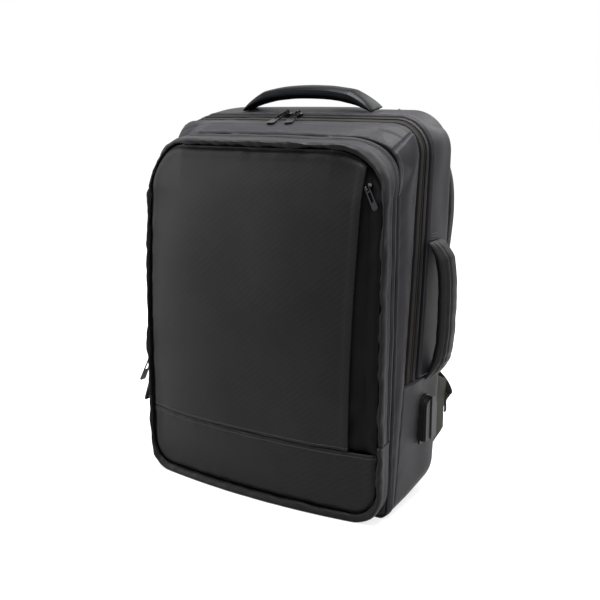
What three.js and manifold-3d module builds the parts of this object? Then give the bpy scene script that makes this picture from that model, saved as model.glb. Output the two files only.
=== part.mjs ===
// A laptop backpack that also carries as a briefcase, standing on its base.
//
// Millimetres, +Z up, front towards -Y, the wearer's side towards +Y. The origin is on the base, midway
// between the sides. The bag is sewn from bands of cloth that run round it, so each band is one closed solid:
// its outer skin lies between two seams, and its wall is turned inwards. Both compartments are hollow.

import * as THREE from "three";
import { mergeVertices } from "three/addons/utils/BufferGeometryUtils.js";
import Module from "manifold-3d";

const wasm = await Module();
wasm.setup();

// Main compartment
const bodyHeight = 440; // floor to the crest of the rear edge
const bodyWidth = 322; // across the widest seam
const bodyDepth = 137; // front rim to rear edge, measured at the top
const rimPlace = -49; // where the front rim stands along Y, at the top
const rimCorner = 60; // radius of the front rim's top corners
const cornerEase = 20; // how far those corners are drawn back
const topCorner = 48; // corner radius of the rear edge, seen from behind
const footCorner = 34; // the same at the base
const sideBow = 2.4; // how far the sides belly out at mid height
const topBow = 1.5; // how far the top belly rises in the middle
const wall = 2.2; // cloth with its foam and lining
const seamGap = 0.3; // between two pieces that are sewn together
const baseSeam = 146; // height of the seam where the zip ends and the base begins

// Front pocket
const pocketDepth = 28; // front rim to the pocket's rolled edge, at the top
const pocketFootShare = 0.8; // how much of that depth is left at the floor
const pocketSwell = 7; // how much further the edge stands at mid height
const pocketPlanBow = 8; // how much further the edge stands between the sides
const pocketSag = 8; // how much more it does so at the floor
const pocketLean = 14; // how far the pocket's left side leans in at full height
const bandCrown = 2.2; // how far a band swells between its seams
const pocketCorner = 56; // top corner radius of the rolled edge
const pocketFootCorner = 29; // bottom corner radius of the rolled edge
const pocketBaseSeam = 93; // height of the cross seam in the pocket's band
const panelCrown = 16; // how far the front panel swells past its own edge
const panelWall = 2.4;
const panelSeam = 81; // height of the seam across the front panel
const stripReach = 30; // from the large flap's edge to the widest seam
const flapEdge = bodyWidth / 2 - stripReach; // where the flap ends, right of the middle
const flapMiddle = 245; // height at which it does so
const flapLean = 2; // degrees that its edge leans from there, outwards at the top
const flapOverlap = 8; // how far the flap covers the side strip
const stripRecess = 5.5; // how far the side strip lies behind the flap

// Zips
const tapeRecess = 2; // how far a zip tape lies under the cloth beside it
const tapeWall = 1.6;
const coilWidth = 6;
const coilHeight = 1.3;
const sliderLength = 10;
const sliderWidth = 7.6;
const sliderHeight = 2.6;
const bailInner = 1.5; // inner radius of the bail round the pull's crossbar
const bailThickness = 1.3;
const bailWidth = 1.6;
const bailFoot = 1.9; // crossbar's middle to the top of the slider
const pocketSliderSeat = -0.6; // how far these two stand out of the pocket's side, less their coil
const pocketSliderHeight = 146; // the upper one's middle
const pocketSliderApart = 22; // from it to the lower one
const mainLeftPlace = -20; // sliders of the main zip, left of the bag's middle
const mainRightPlace = -5;
const mainLeftDrift = 6; // how far right of its slider a pull's tip lies
const mainRightDrift = 16;
const flapSliderDrop = 78; // from full height down to the flap's slider
const flapSliderGap = 1.5; // between the flap's edge and its slider
const flapSliderSeat = 0.9;
const flapPullClear = 3.4; // its tip above the strip
const hingeHeight = seamGap + sliderHeight + bailFoot; // crossbar's middle above the coil
const pullLength = 47;
const pullThickness = 1.5;
const pullNeck = 6; // width at the crossbar
const pullFoot = 10; // width at the far end
const crossbar = 0.8; // half its depth
const flapPullLength = 25;
const flapPullFoot = 7;
const coilShare = 0.7; // where the coil lies between the two seams of the main zip

// Top handle
const topHandleSpan = 177; // end to end
const topHandleRise = 29; // crest above the cloth that it is sewn to
const topHandleThickness = 15;
const topHandleWidth = 27;
const topHandleShift = -9; // its middle, left of the bag's middle
const topHandlePlace = 0.42; // between the zip's rear edge and the crest
const handleTab = 4; // thickness where it is sewn down
const tabSpread = 3; // how much wider it is there

// Side handle
const sideHandleTop = 297;
const sideHandleFoot = 143;
const sideHandleRise = 25;
const sideHandleThickness = 15;
const sideHandleWidth = 34;
const sideHandleMiddle = 34; // along Y

// Back and shoulder straps
const backWall = 4;
const backPadRise = 5;
const strapWidth = 64;
const strapThickness = 12;
const strapEndWidth = 34;
const webWidth = 25;
const webThickness = 1.6;
const buckleWidth = 38;
const buckleLength = 26;
const buckleThickness = 4;
const wingThickness = 2.6;
const wingRoot = 86; // along the rear seam
const wingReach = 32; // behind it
const wingTip = 60; // along its free edge
const wingLow = 47; // height of its lower end

// Charging port
const portHeight = 56;
const portWidth = 29;
const portLow = 68;
const portPlace = 22; // its middle, along Y
const portPlate = 2.2;
const portReach = 5.5; // hood's reach out of the plate
const socketWidth = 12.4;
const socketDepth = 5.2;
const socketReach = 14;

// The seams of the main compartment, front to rear, as shares of the sizes named above: foot and head are
// places along the depth at the floor and at full height, half of half the width, low and high of the height,
// top and base of the two corner radii. left is how round the left top corner is beside the right one, and
// ease how much of the rim's own easing a seam's top corners take.
const bodySeams = [
  { foot: -0.058, head: 0, half: 0.988, low: 0, high: 0.936, top: 1.25, base: 0.3, left: 1, ease: 1 },
  { foot: 0.022, head: 0.336, half: 1, low: 0, high: 0.966, top: 0.68, base: 0.42, left: 0.72, ease: 0.1 },
  { foot: 0.292, head: 0.577, half: 1.002, low: 0, high: 0.982, top: 0.86, base: 0.6, left: 0.55, ease: 0 },
  { foot: 0.723, head: 0.942, half: 0.997, low: 0, high: 1, top: 1, base: 1, left: 0.7, ease: 0 },
  { foot: 0.79, head: 1, half: 0.969, low: 0.03, high: 0.99, top: 1, base: 1.1, left: 0.75, ease: 0 },
];
const [RIM, ZIP_FRONT, ZIP_REAR, CREST, REAR_EDGE] = bodySeams.keys();

// The lines of the pocket, rear to front: its seam on the rim, the zip's two edges, the ridge, the top and
// lip of the roll, and the gutter where the panel is sewn in. forward is a share of the pocket's depth, top
// and base of its corners, and the rest as above.
const pocketLines = [
  { forward: 0.015, half: 0.988, low: 0.009, high: 0.934, top: 1.06, base: 0.93, left: 1, ease: 1 },
  { forward: 0.22, half: 0.995, low: 0.007, high: 0.931, top: 1.03, base: 1, left: 0.96, ease: 0.9 },
  { forward: 0.42, half: 0.999, low: 0.004, high: 0.929, top: 1, base: 1.03, left: 0.92, ease: 0.8 },
  { forward: 0.84, half: 1.004, low: 0, high: 0.923, top: 1, base: 1.1, left: 0.82, ease: 0.6 },
  { forward: 0.98, half: 0.993, low: 0.002, high: 0.919, top: 1, base: 1.07, left: 0.8, ease: 0.5 },
  { forward: 0.98, half: 0.978, low: 0.012, high: 0.913, top: 1, base: 1, left: 0.8, ease: 0.4 },
  { forward: 0.84, half: 0.966, low: 0.022, high: 0.907, top: 1, base: 0.95, left: 0.8, ease: 0.4 },
];
const [SEAM, POCKET_ZIP_REAR, POCKET_ZIP_FRONT, RIDGE, , , GUTTER] = pocketLines.keys();

// How far the rings of a dished plate lie from its middle, as shares of its outline.
const plateRings = [1, 0.965, 0.88, 0.68, 0.38];

// Steps along each stretch of an outline.
const topCornerSteps = 7;
const footCornerSteps = 4;
const sideSteps = 6;
const levelSteps = 6;

const mix = (a, b, t) => a + (b - a) * t;

// Row of a table at a place between two of its rows.
function rowAt(table, place) {
  const low = Math.min(Math.floor(place), table.length - 2);
  const row = {};
  for (const key of Object.keys(table[low]))
    row[key] = mix(table[low][key], table[low + 1][key], place - low);
  return row;
}

// How far back the top corners are drawn at a point: fully on the corner's own diagonal.
function easedCorner(x, z) {
  const side = (Math.abs(x) - (bodyWidth / 2) * bodySeams[RIM].half) / rimCorner + 1;
  const up = (z - bodyHeight * bodySeams[RIM].high) / rimCorner + 1;
  return cornerEase * Math.min(1, 2 * Math.max(0, side) * Math.max(0, up));
}

// Where a seam stands along Y.
const depthAt = (row, x, z) =>
  rimPlace + bodyDepth * mix(row.foot, row.head, z / bodyHeight) + row.ease * easedCorner(x, z);
const rimDepth = (x, z, ease = 1) => depthAt({ ...bodySeams[RIM], ease }, x, z);

// How far the pocket's front edge stands out of the rim.
function pocketReach(x, z) {
  const up = z / bodyHeight;
  const across = 1 - (x / (bodyWidth / 2)) ** 2;
  const depth = pocketDepth * mix(pocketFootShare, 1, up);
  const sag = pocketSag * Math.max(0, 1 - 3 * up) ** 2;
  return depth + pocketSwell * Math.sin(Math.PI * up) + (pocketPlanBow + sag) * across;
}
const pocketDepthAt = (row, x, z) => rimDepth(x, z, row.ease) - row.forward * pocketReach(x, z);

// Closed outline of a row in the X-Z plane, from the middle of the base and up the right side. Its sides and
// top belly out a little, inset draws it inwards and lift raises its base.
function outline(row, corners, inset = 0, lift = inset) {
  const half = (bodyWidth / 2) * row.half - inset;
  const low = bodyHeight * row.low + lift;
  const high = bodyHeight * row.high - inset;
  const top = Math.max(corners.top * row.top - inset, wall);
  const left = Math.max(corners.top * row.top * row.left - inset, wall);
  const base = Math.max(corners.base * row.base - inset, wall);
  const points = [];
  const line = (x0, z0, x1, z1, steps) => {
    for (let i = 0; i < steps; i++) points.push([mix(x0, x1, i / steps), mix(z0, z1, i / steps)]);
  };
  const arc = (x, z, radius, from, steps) => {
    for (let i = 0; i < steps; i++) {
      const angle = from + ((Math.PI / 2) * i) / steps;
      points.push([x + radius * Math.cos(angle), z + radius * Math.sin(angle)]);
    }
  };
  line(0, low, half - base, low, levelSteps / 2);
  arc(half - base, low + base, base, -Math.PI / 2, footCornerSteps);
  line(half, low + base, half, high - top, sideSteps);
  arc(half - top, high - top, top, 0, topCornerSteps);
  line(half - top, high, left - half, high, levelSteps);
  arc(left - half, high - left, left, Math.PI / 2, topCornerSteps);
  line(-half, high - left, -half, low + base, sideSteps);
  arc(base - half, low + base, base, Math.PI, footCornerSteps);
  line(base - half, low, 0, low, levelSteps / 2);
  return points.map(([x, z]) => belly(x, z, half, low, high));
}

function belly(x, z, half, low, high) {
  const up = (z - low) / (high - low);
  const out = 1 + (sideBow / (bodyWidth / 2)) * Math.sin(Math.PI * up);
  const rise = topBow * Math.max(0, 2 * up - 1) ** 2 * Math.cos((Math.PI * x) / (2 * half));
  return [x * out, z + rise];
}

const bodyCorners = { top: topCorner, base: footCorner };
const pocketCorners = { top: pocketCorner, base: pocketFootCorner };

function bodyLoop(place, inset = 0, lift = inset) {
  const row = rowAt(bodySeams, place);
  return outline(row, bodyCorners, inset, lift).map(
    ([x, z]) => new THREE.Vector3(x, depthAt(row, x, z), z),
  );
}

// The pocket's left side leans in towards the top, more the further it stands out.
function leaned(row, x, z) {
  const share = (row.forward * Math.max(0, -x)) / (bodyWidth / 2);
  return x + share * pocketLean * mix(-0.17, 1, z / bodyHeight);
}

function pocketLoop(place, inset = 0, back = 0) {
  const row = rowAt(pocketLines, place);
  return outline(row, pocketCorners, inset).map(
    ([x, z]) => new THREE.Vector3(leaned(row, x, z), pocketDepthAt(row, x, z) + back, z),
  );
}

// Mesh of a grid of loops. closed joins the last loop to the first, and otherwise each end is capped by a
// fan.
function meshOfLoops(loops, closed) {
  const count = loops[0].length;
  const points = loops.flat();
  const faces = [];
  const rows = closed ? loops.length : loops.length - 1;
  for (let r = 0; r < rows; r++)
    for (let c = 0; c < count; c++) {
      const next = (c + 1) % count;
      const below = ((r + 1) % loops.length) * count;
      faces.push(r * count + c, r * count + next, below + next);
      faces.push(r * count + c, below + next, below + c);
    }
  if (!closed)
    for (const [r, turn] of [[0, false], [loops.length - 1, true]]) {
      const middle = loops[r].reduce((sum, p) => sum.add(p), new THREE.Vector3());
      points.push(middle.divideScalar(count));
      for (let c = 0; c < count; c++) {
        const edge = [r * count + c, r * count + ((c + 1) % count)];
        if (!turn) edge.reverse();
        faces.push(points.length - 1, ...edge);
      }
    }
  const geometry = new THREE.BufferGeometry().setFromPoints(points);
  geometry.setIndex(faces);
  return turnedOut(geometry);
}

// Faces point outwards: the volume that they enclose is positive.
function turnedOut(geometry) {
  const index = geometry.index.array;
  const at = geometry.attributes.position;
  const [a, b, c] = [new THREE.Vector3(), new THREE.Vector3(), new THREE.Vector3()];
  let volume = 0;
  for (let i = 0; i < index.length; i += 3) {
    a.fromBufferAttribute(at, index[i]);
    b.fromBufferAttribute(at, index[i + 1]);
    c.fromBufferAttribute(at, index[i + 2]);
    volume += a.dot(b.cross(c));
  }
  if (volume < 0)
    for (let i = 0; i < index.length; i += 3)
      [index[i + 1], index[i + 2]] = [index[i + 2], index[i + 1]];
  return geometry;
}

// Solids that are joined or cut
function solid(geometry) {
  const plain = geometry.clone();
  plain.deleteAttribute("normal");
  plain.deleteAttribute("uv");
  const merged = mergeVertices(plain, 1e-4);
  return new wasm.Manifold(
    new wasm.Mesh({
      numProp: 3,
      vertProperties: merged.attributes.position.array,
      triVerts: new Uint32Array(merged.index.array),
    }),
  );
}

function geometryOf(made) {
  const mesh = made.getMesh();
  const geometry = new THREE.BufferGeometry();
  geometry.setAttribute("position", new THREE.BufferAttribute(mesh.vertProperties, 3));
  geometry.setIndex(new THREE.BufferAttribute(mesh.triVerts, 1));
  geometry.computeVertexNormals();
  return geometry;
}

function block(x0, x1, y0, y1, z0, z1) {
  const box = new THREE.BoxGeometry(x1 - x0, y1 - y0, z1 - z0);
  return solid(box.translate((x0 + x1) / 2, (y0 + y1) / 2, (z0 + z1) / 2));
}

// Everything on one side of a height
const far = 2 * (bodyHeight + bodyWidth);
const above = (z) => block(-far, far, -far, far, z, far);
const below = (z) => block(-far, far, -far, far, -far, z);

// Band of the main compartment between two seams, its edges drawn in by the sewing gap. A crown swells it
// between them, except at the base.
function bodyBand(from, to, steps, { depth = wall, recess = 0, crown = 0 } = {}) {
  const places = [];
  for (let i = 0; i <= steps; i++) places.push(mix(from, to, i / steps));
  const edge = (loop, i) => shifted(loop, i === 0 ? seamGap / 2 : i === steps ? -seamGap / 2 : 0);
  const swell = (i) => crown * Math.sin((Math.PI * i) / steps);
  const skin = (p, i, inset) => edge(bodyLoop(p, inset - swell(i), inset), i);
  const outer = places.map((p, i) => skin(p, i, recess));
  const inner = places.map((p, i) => skin(p, i, recess + depth)).reverse();
  return solid(meshOfLoops([...outer, ...inner], true));
}
const shifted = (loop, y) => loop.map((p) => new THREE.Vector3(p.x, p.y + y, p.z));

// Band of the pocket, whose lines run towards the front.
function pocketBand(from, to, steps, depth = wall, recess = 0) {
  const places = [];
  for (let i = 0; i <= steps; i++) places.push(mix(from, to, i / steps));
  const turned = (place) => Math.max(0, (place - RIDGE) / (GUTTER - RIDGE));
  const edge = (loop, i) => shifted(loop, i === 0 ? -seamGap / 2 : i === steps ? seamGap / 2 : 0);
  const outer = places.map((p, i) => edge(pocketLoop(p, recess), i));
  const inner = places
    .map((p, i) => {
      const roll = turned(p);
      return edge(pocketLoop(p, recess + depth * (1 - roll), depth * Math.sin((Math.PI / 2) * roll)), i);
    })
    .reverse();
  return solid(meshOfLoops([...outer, ...inner], true));
}

// Plate that fills an outline, both faces following a depth that the middle pushes out.
function dishedPlate(points, depth, thickness) {
  const low = Math.min(...points.map((p) => p.z));
  const high = Math.max(...points.map((p) => p.z));
  const middle = (low + high) / 2;
  const ring = (share, back) =>
    points.map((p) => {
      const x = p.x * share;
      const z = mix(middle, p.z, share);
      return new THREE.Vector3(x, depth(x, z) + back, z);
    });
  const front = plateRings.map((share) => ring(share, 0));
  const rear = plateRings.map((share) => ring(share, thickness));
  return solid(meshOfLoops([...front.reverse(), ...rear], false));
}

// Front panel's face: the pocket's gutter, swollen towards the middle.
function panelDepth(x, z) {
  const row = pocketLines[GUTTER];
  const half = (bodyWidth / 2) * row.half;
  const middle = (bodyHeight * (row.low + row.high)) / 2;
  const reach = (bodyHeight * (row.high - row.low)) / 2;
  const across = Math.max(0, 1 - Math.abs(x / half) ** 3);
  const up = Math.max(0, 1 - ((z - middle) / reach) ** 2);
  return pocketDepthAt(row, x, z) - panelCrown * across * up;
}

function frontPanels() {
  const edge = pocketLoop(GUTTER, seamGap);
  const flush = dishedPlate(edge, panelDepth, panelWall);
  const sunk = dishedPlate(edge, (x, z) => panelDepth(x, z) + stripRecess * stripSink(x), panelWall);
  const upper = flush.intersect(above(panelSeam + seamGap / 2));
  const lower = flush.intersect(below(panelSeam - seamGap / 2));
  const beside = (from, to) =>
    block(from, to, -far, far, -far, far)
      .rotate([0, flapLean, 0])
      .translate([flapEdge, 0, flapMiddle]);
  const flap = upper.intersect(beside(-far, 0));
  const strip = sunk.intersect(above(panelSeam + seamGap / 2)).intersect(beside(-flapOverlap, far));
  return { flap, strip, lower };
}

// The side strip lies deep beside the flap and comes up to the gutter at its own outer edge.
function stripSink(x) {
  const half = (bodyWidth / 2) * pocketLines[GUTTER].half;
  return Math.min(1, Math.max(0, (half - x) / (half - flapEdge)) * 1.6);
}

// Front wall of the main compartment, which is also the pocket's back.
function frontWall() {
  const edge = bodyLoop(RIM, wall + seamGap);
  return dishedPlate(edge, (x, z) => rimDepth(x, z) + seamGap, wall);
}

// Padded back, two columns of foam standing proud of a flat edge.
function backPanel() {
  const row = bodySeams[REAR_EDGE];
  const edge = bodyLoop(REAR_EDGE, wall + seamGap);
  const proud = (x, share) => {
    const column = Math.sin(Math.PI * Math.min(1, Math.abs(x) / (bodyWidth / 2))) ** 0.7;
    return share > 0.95 ? 0 : backPadRise * (0.45 + 0.55 * column);
  };
  const front = (x, z) => depthAt(row, x, z) - backWall;
  const low = Math.min(...edge.map((p) => p.z));
  const high = Math.max(...edge.map((p) => p.z));
  const ring = (share, rear) =>
    edge.map((p) => {
      const x = p.x * share;
      const z = mix((low + high) / 2, p.z, share);
      return new THREE.Vector3(x, front(x, z) + (rear ? backWall + proud(x, share) : 0), z);
    });
  const inside = plateRings.map((share) => ring(share, false)).reverse();
  const outside = plateRings.map((share) => ring(share, true));
  return solid(meshOfLoops([...inside, ...outside], false));
}

// A round-cornered section: a superellipse of a width and a height, in a plane given by two directions.
function sectionLoop(middle, across, out, width, height, steps = 12, power = 0.62) {
  const points = [];
  for (let i = 0; i < steps; i++) {
    const angle = (2 * Math.PI * (i + 0.5)) / steps;
    const u = Math.sign(Math.cos(angle)) * Math.abs(Math.cos(angle)) ** power;
    const v = Math.sign(Math.sin(angle)) * Math.abs(Math.sin(angle)) ** power;
    points.push(
      middle
        .clone()
        .addScaledVector(across, (u * width) / 2)
        .addScaledVector(out, (v * height) / 2),
    );
  }
  return points;
}

// Body carried along a row of stations, each with its middle, width, height and the direction across it.
function carried(stations, steps, power) {
  const loops = stations.map((s, i) => {
    const before = stations[Math.max(i - 1, 0)].middle;
    const after = stations[Math.min(i + 1, stations.length - 1)].middle;
    const along = after.clone().sub(before).normalize();
    const across = s.across.clone().addScaledVector(along, -s.across.dot(along)).normalize();
    const out = new THREE.Vector3().crossVectors(across, along).normalize();
    return sectionLoop(s.middle, across, out, s.width, s.height, steps, power);
  });
  return solid(meshOfLoops(loops, false));
}

// Point of the main compartment's skin on the flat of its top, and on a side.
function topPoint(place, x) {
  const row = rowAt(bodySeams, place);
  const high = bodyHeight * row.high;
  const half = (bodyWidth / 2) * row.half;
  const [bx, bz] = belly(x, high, half, bodyHeight * row.low, high);
  return new THREE.Vector3(bx, depthAt(row, bx, bz), bz);
}
function sidePoint(table, place, z, side, depth) {
  const row = rowAt(table, place);
  const half = (bodyWidth / 2) * row.half;
  const [bx] = belly(half * side, z, half, bodyHeight * row.low, bodyHeight * row.high);
  return new THREE.Vector3(bx, depth(row, bx, z), z);
}
const bodySide = (place, z, side) => sidePoint(bodySeams, place, z, side, depthAt);
const pocketSide = (place, z, side) => sidePoint(pocketLines, place, z, side, pocketDepthAt);

// Place on a band of the skin whose middle lies at a depth, found between two seams.
function placeAtDepth(y, z, from, to) {
  const low = depthAt(bodySeams[from], 0, z);
  const high = depthAt(bodySeams[to], 0, z);
  return mix(from, to, (y - low) / (high - low));
}

// Handles
const handleSteps = 14;

function topHandle() {
  const place = mix(ZIP_REAR, CREST, topHandlePlace);
  const stations = [];
  for (let i = 0; i <= handleSteps; i++) {
    const share = Math.sin((Math.PI / 2) * mix(-1, 1, i / handleSteps));
    const x = topHandleShift + (topHandleSpan / 2) * share;
    const lift = Math.max(0, 1 - Math.abs(share) ** 2.4);
    const thick = mix(handleTab, topHandleThickness, Math.min(1, 1.6 * lift) ** 0.8);
    const inner = (topHandleRise - topHandleThickness) * lift;
    const slope = topPoint(CREST, x).sub(topPoint(ZIP_REAR, x)).normalize();
    const out = new THREE.Vector3().crossVectors(axisX, slope).normalize();
    stations.push({
      middle: topPoint(place, x).addScaledVector(out, seamGap + inner + thick / 2),
      across: slope,
      width: mix(topHandleWidth + tabSpread, topHandleWidth, lift),
      height: thick,
    });
  }
  return carried(stations, 12, 0.7);
}

function sideHandle() {
  const middleHeight = (sideHandleTop + sideHandleFoot) / 2;
  const halfLength = (sideHandleTop - sideHandleFoot) / 2;
  const stations = [];
  for (let i = 0; i <= handleSteps; i++) {
    const share = Math.sin((Math.PI / 2) * mix(-1, 1, i / handleSteps));
    const lift = Math.max(0, 1 - Math.abs(share) ** (share > 0 ? 3.4 : 2.6));
    const thick = mix(handleTab, sideHandleThickness, Math.min(1, 1.6 * lift) ** 0.8);
    const inner = (sideHandleRise - sideHandleThickness) * lift;
    const z = middleHeight + halfLength * share;
    const front = placeAtDepth(sideHandleMiddle - sideHandleWidth / 2, z, ZIP_REAR, CREST);
    stations.push({
      middle: new THREE.Vector3(bodySide(front, z, 1).x + seamGap + inner + thick / 2, sideHandleMiddle, z),
      across: axisY,
      width: mix(sideHandleWidth + tabSpread, sideHandleWidth, lift),
      height: thick,
    });
  }
  return carried(stations, 12, 0.7);
}

// Shoulder straps. Each row is a station from the top seam down: out is the middle's place off the centre
// line as a share of half the width, up of the height, off the distance of the strap's middle behind the back
// in strap thicknesses, wide the share of the strap's width.
const strapRows = [
  { out: 0.4, up: 0.965, off: 0.54, wide: 0.9 },
  { out: 0.5, up: 0.93, off: 1.1, wide: 0.95 },
  { out: 0.62, up: 0.88, off: 2.3, wide: 1 },
  { out: 0.69, up: 0.81, off: 2.95, wide: 1 },
  { out: 0.715, up: 0.735, off: 2.95, wide: 1 },
  { out: 0.725, up: 0.66, off: 2.4, wide: 1 },
  { out: 0.725, up: 0.585, off: 1.8, wide: 1 },
  { out: 0.725, up: 0.51, off: 1.5, wide: 0.97 },
  { out: 0.725, up: 0.45, off: 1.4, wide: 0.85 },
  { out: 0.725, up: 0.415, off: 1.4, wide: 0.62 },
];

const backFace = (z) => depthAt(bodySeams[REAR_EDGE], 0, z) + backPadRise;

const strapPoint = (row, side) => {
  const z = bodyHeight * row.up;
  return new THREE.Vector3((side * bodyWidth * row.out) / 2, backFace(z) + strapThickness * row.off, z);
};

function strap(side) {
  const stations = strapRows.map((row, i) => ({
    middle: strapPoint(row, side),
    across: new THREE.Vector3(1, 0, 0),
    width: Math.max(strapWidth * row.wide, strapEndWidth),
    height: strapThickness * (i === strapRows.length - 1 ? 0.5 : 1),
  }));
  return carried(stations, 12, 0.6);
}

// Adjuster at the strap's lower end: a plate with two slots, and the bar between them holds the webbing.
const buckleSlot = webWidth + 2;
const buckleBar = 4;
const buckleRim = 3.6;

function buckleFrame(side) {
  const last = strapPoint(strapRows.at(-1), side);
  return last.add(new THREE.Vector3(0, 0, -buckleLength / 2 - seamGap));
}

function buckle(side) {
  const middle = buckleFrame(side);
  const plate = roundedPlate(buckleWidth, buckleLength, 5, buckleThickness);
  const slotHeight = (buckleLength - 2 * buckleRim - buckleBar) / 2;
  let made = solid(plate);
  for (const turn of [-1, 1]) {
    const z = (turn * (slotHeight + buckleBar)) / 2;
    made = made.subtract(
      block(-buckleSlot / 2, buckleSlot / 2, -far, far, z - slotHeight / 2, z + slotHeight / 2),
    );
  }
  return { made, middle };
}

// Round-cornered plate in the X-Z plane, its thickness along Y.
function roundedPlate(width, height, radius, thickness) {
  const shape = new THREE.Shape();
  const [w, h] = [width / 2, height / 2];
  shape.moveTo(-w + radius, -h);
  shape.lineTo(w - radius, -h);
  shape.absarc(w - radius, -h + radius, radius, -Math.PI / 2, 0);
  shape.absarc(w - radius, h - radius, radius, 0, Math.PI / 2);
  shape.absarc(-w + radius, h - radius, radius, Math.PI / 2, Math.PI);
  shape.absarc(-w + radius, -h + radius, radius, Math.PI, 1.5 * Math.PI);
  const plate = new THREE.ExtrudeGeometry(shape, { depth: thickness, bevelEnabled: false, curveSegments: 4 });
  return plate.translate(0, 0, -thickness / 2).rotateX(Math.PI / 2);
}

// Wing: a four-sided tab sewn into the rear seam, which the webbing pulls on.
const wingRear = (z) => depthAt(bodySeams[REAR_EDGE], 0, z) + seamGap;
const wingMiddle = () => (bodyWidth / 2) * bodySeams[REAR_EDGE].half - wall / 2;
const wingEnd = (z) =>
  mix(
    wingRear(wingLow) + wingReach * 0.93,
    wingRear(wingLow + wingRoot) + wingReach,
    (z - wingLow) / wingRoot,
  );

function wing(side) {
  const inset = (wingRoot - wingTip) / 2;
  const corners = [
    [wingRear(wingLow), wingLow],
    [wingEnd(wingLow + inset), wingLow + inset],
    [wingEnd(wingLow + wingRoot - inset), wingLow + wingRoot - inset],
    [wingRear(wingLow + wingRoot), wingLow + wingRoot],
  ];
  const shape = new THREE.Shape(corners.map(([y, z]) => new THREE.Vector2(y, z)));
  const plate = new THREE.ExtrudeGeometry(shape, { depth: wingThickness, bevelEnabled: false });
  // the shape's own axes become Y and Z, and its thickness runs along X
  plate.applyMatrix4(new THREE.Matrix4().makeBasis(axisY, axisZ, axisX));
  return solid(plate.translate(side * wingMiddle() - wingThickness / 2, 0, 0));
}
const axisX = new THREE.Vector3(1, 0, 0);
const axisY = new THREE.Vector3(0, 1, 0);
const axisZ = new THREE.Vector3(0, 0, 1);

// Webbing from the wing's free edge, in and up behind the buckle's lower rim, over its bar and down again as
// a free end. Each row of the sweep is a share of the way from the wing to the buckle, across and up, with
// its bow away from the back and the turn of the webbing from upright to level.
const webSweep = [
  { inward: 0, up: 0, bow: 0, turn: 0 },
  { inward: 0, up: 0, bow: 2, turn: 0 },
  { inward: 0.02, up: 0.02, bow: 4.5, turn: 0.05 },
  { inward: 0.12, up: 0.12, bow: 8, turn: 0.3 },
  { inward: 0.3, up: 0.32, bow: 8, turn: 0.5 },
  { inward: 0.6, up: 0.58, bow: 3.5, turn: 0.75 },
  { inward: 0.87, up: 0.8, bow: 0.5, turn: 0.93 },
];
const webTail = 46;
const webTailSwing = 9; // how far the free end hangs away from the back

function webbing(side) {
  const bar = buckleFrame(side);
  const clear = webThickness / 2 + seamGap;
  const inner = buckleThickness / 2 + clear;
  const over = buckleBar / 2 + clear;
  const foot = bar.z - buckleLength / 2 - 2;
  const low = wingLow + wingRoot / 2;
  const start = new THREE.Vector3(wingMiddle(), wingEnd(low + webWidth) + seamGap, low);
  const end = new THREE.Vector3(Math.abs(bar.x), bar.y - inner, foot);
  const stations = [];
  const at = (x, y, z, turn) =>
    stations.push({
      middle: new THREE.Vector3(side * x, y, z),
      across: new THREE.Vector3(side * Math.sin((turn * Math.PI) / 2), 0, Math.cos((turn * Math.PI) / 2)),
      width: webWidth,
      height: webThickness,
    });
  for (const row of webSweep)
    at(
      mix(start.x, end.x, row.inward),
      mix(start.y, end.y, row.inward) + row.bow,
      mix(start.z, end.z, row.up),
      row.turn,
    );
  at(end.x, end.y, foot, 1);
  at(end.x, bar.y - inner - seamGap, bar.z + buckleBar / 2, 1);
  at(end.x, bar.y - inner * 0.7, bar.z + over + 1, 1);
  at(end.x, bar.y + inner * 0.7, bar.z + over + 1, 1);
  at(end.x, bar.y + inner + seamGap, bar.z + buckleBar / 2, 1);
  at(end.x, bar.y + inner, foot, 1);
  at(end.x, bar.y + inner + webTailSwing, foot - webTail, 1);
  return carried(stations, 4, 0.02);
}

// Charging port on the right side: a plate, a hood over the socket that faces down, and a cover over its rear
// half.
function stadium(width, height, segments) {
  const shape = new THREE.Shape();
  const radius = width / 2;
  shape.moveTo(-radius, 0);
  shape.lineTo(radius, 0);
  shape.lineTo(radius, height - radius);
  shape.absarc(0, height - radius, radius, 0, Math.PI);
  shape.closePath();
  return { shape, segments };
}

// Stadium standing on its flat end, from one reach to another out of the side.
function portSlab(width, low, high, from, to, middle) {
  const { shape, segments } = stadium(width, high - low, 6);
  const depth = to - from;
  const slab = new THREE.ExtrudeGeometry(shape, { depth, bevelEnabled: false, curveSegments: segments });
  slab.applyMatrix4(new THREE.Matrix4().makeBasis(axisY, axisZ, axisX));
  return solid(slab.translate(portFace() + from, middle, low));
}
const portFace = () =>
  Math.max(
    bodySide(mix(ZIP_REAR, CREST, 0), portLow + portHeight, 1).x,
    bodySide(mix(ZIP_REAR, CREST, 0.5), portLow + portHeight, 1).x,
  ) + seamGap;

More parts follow.
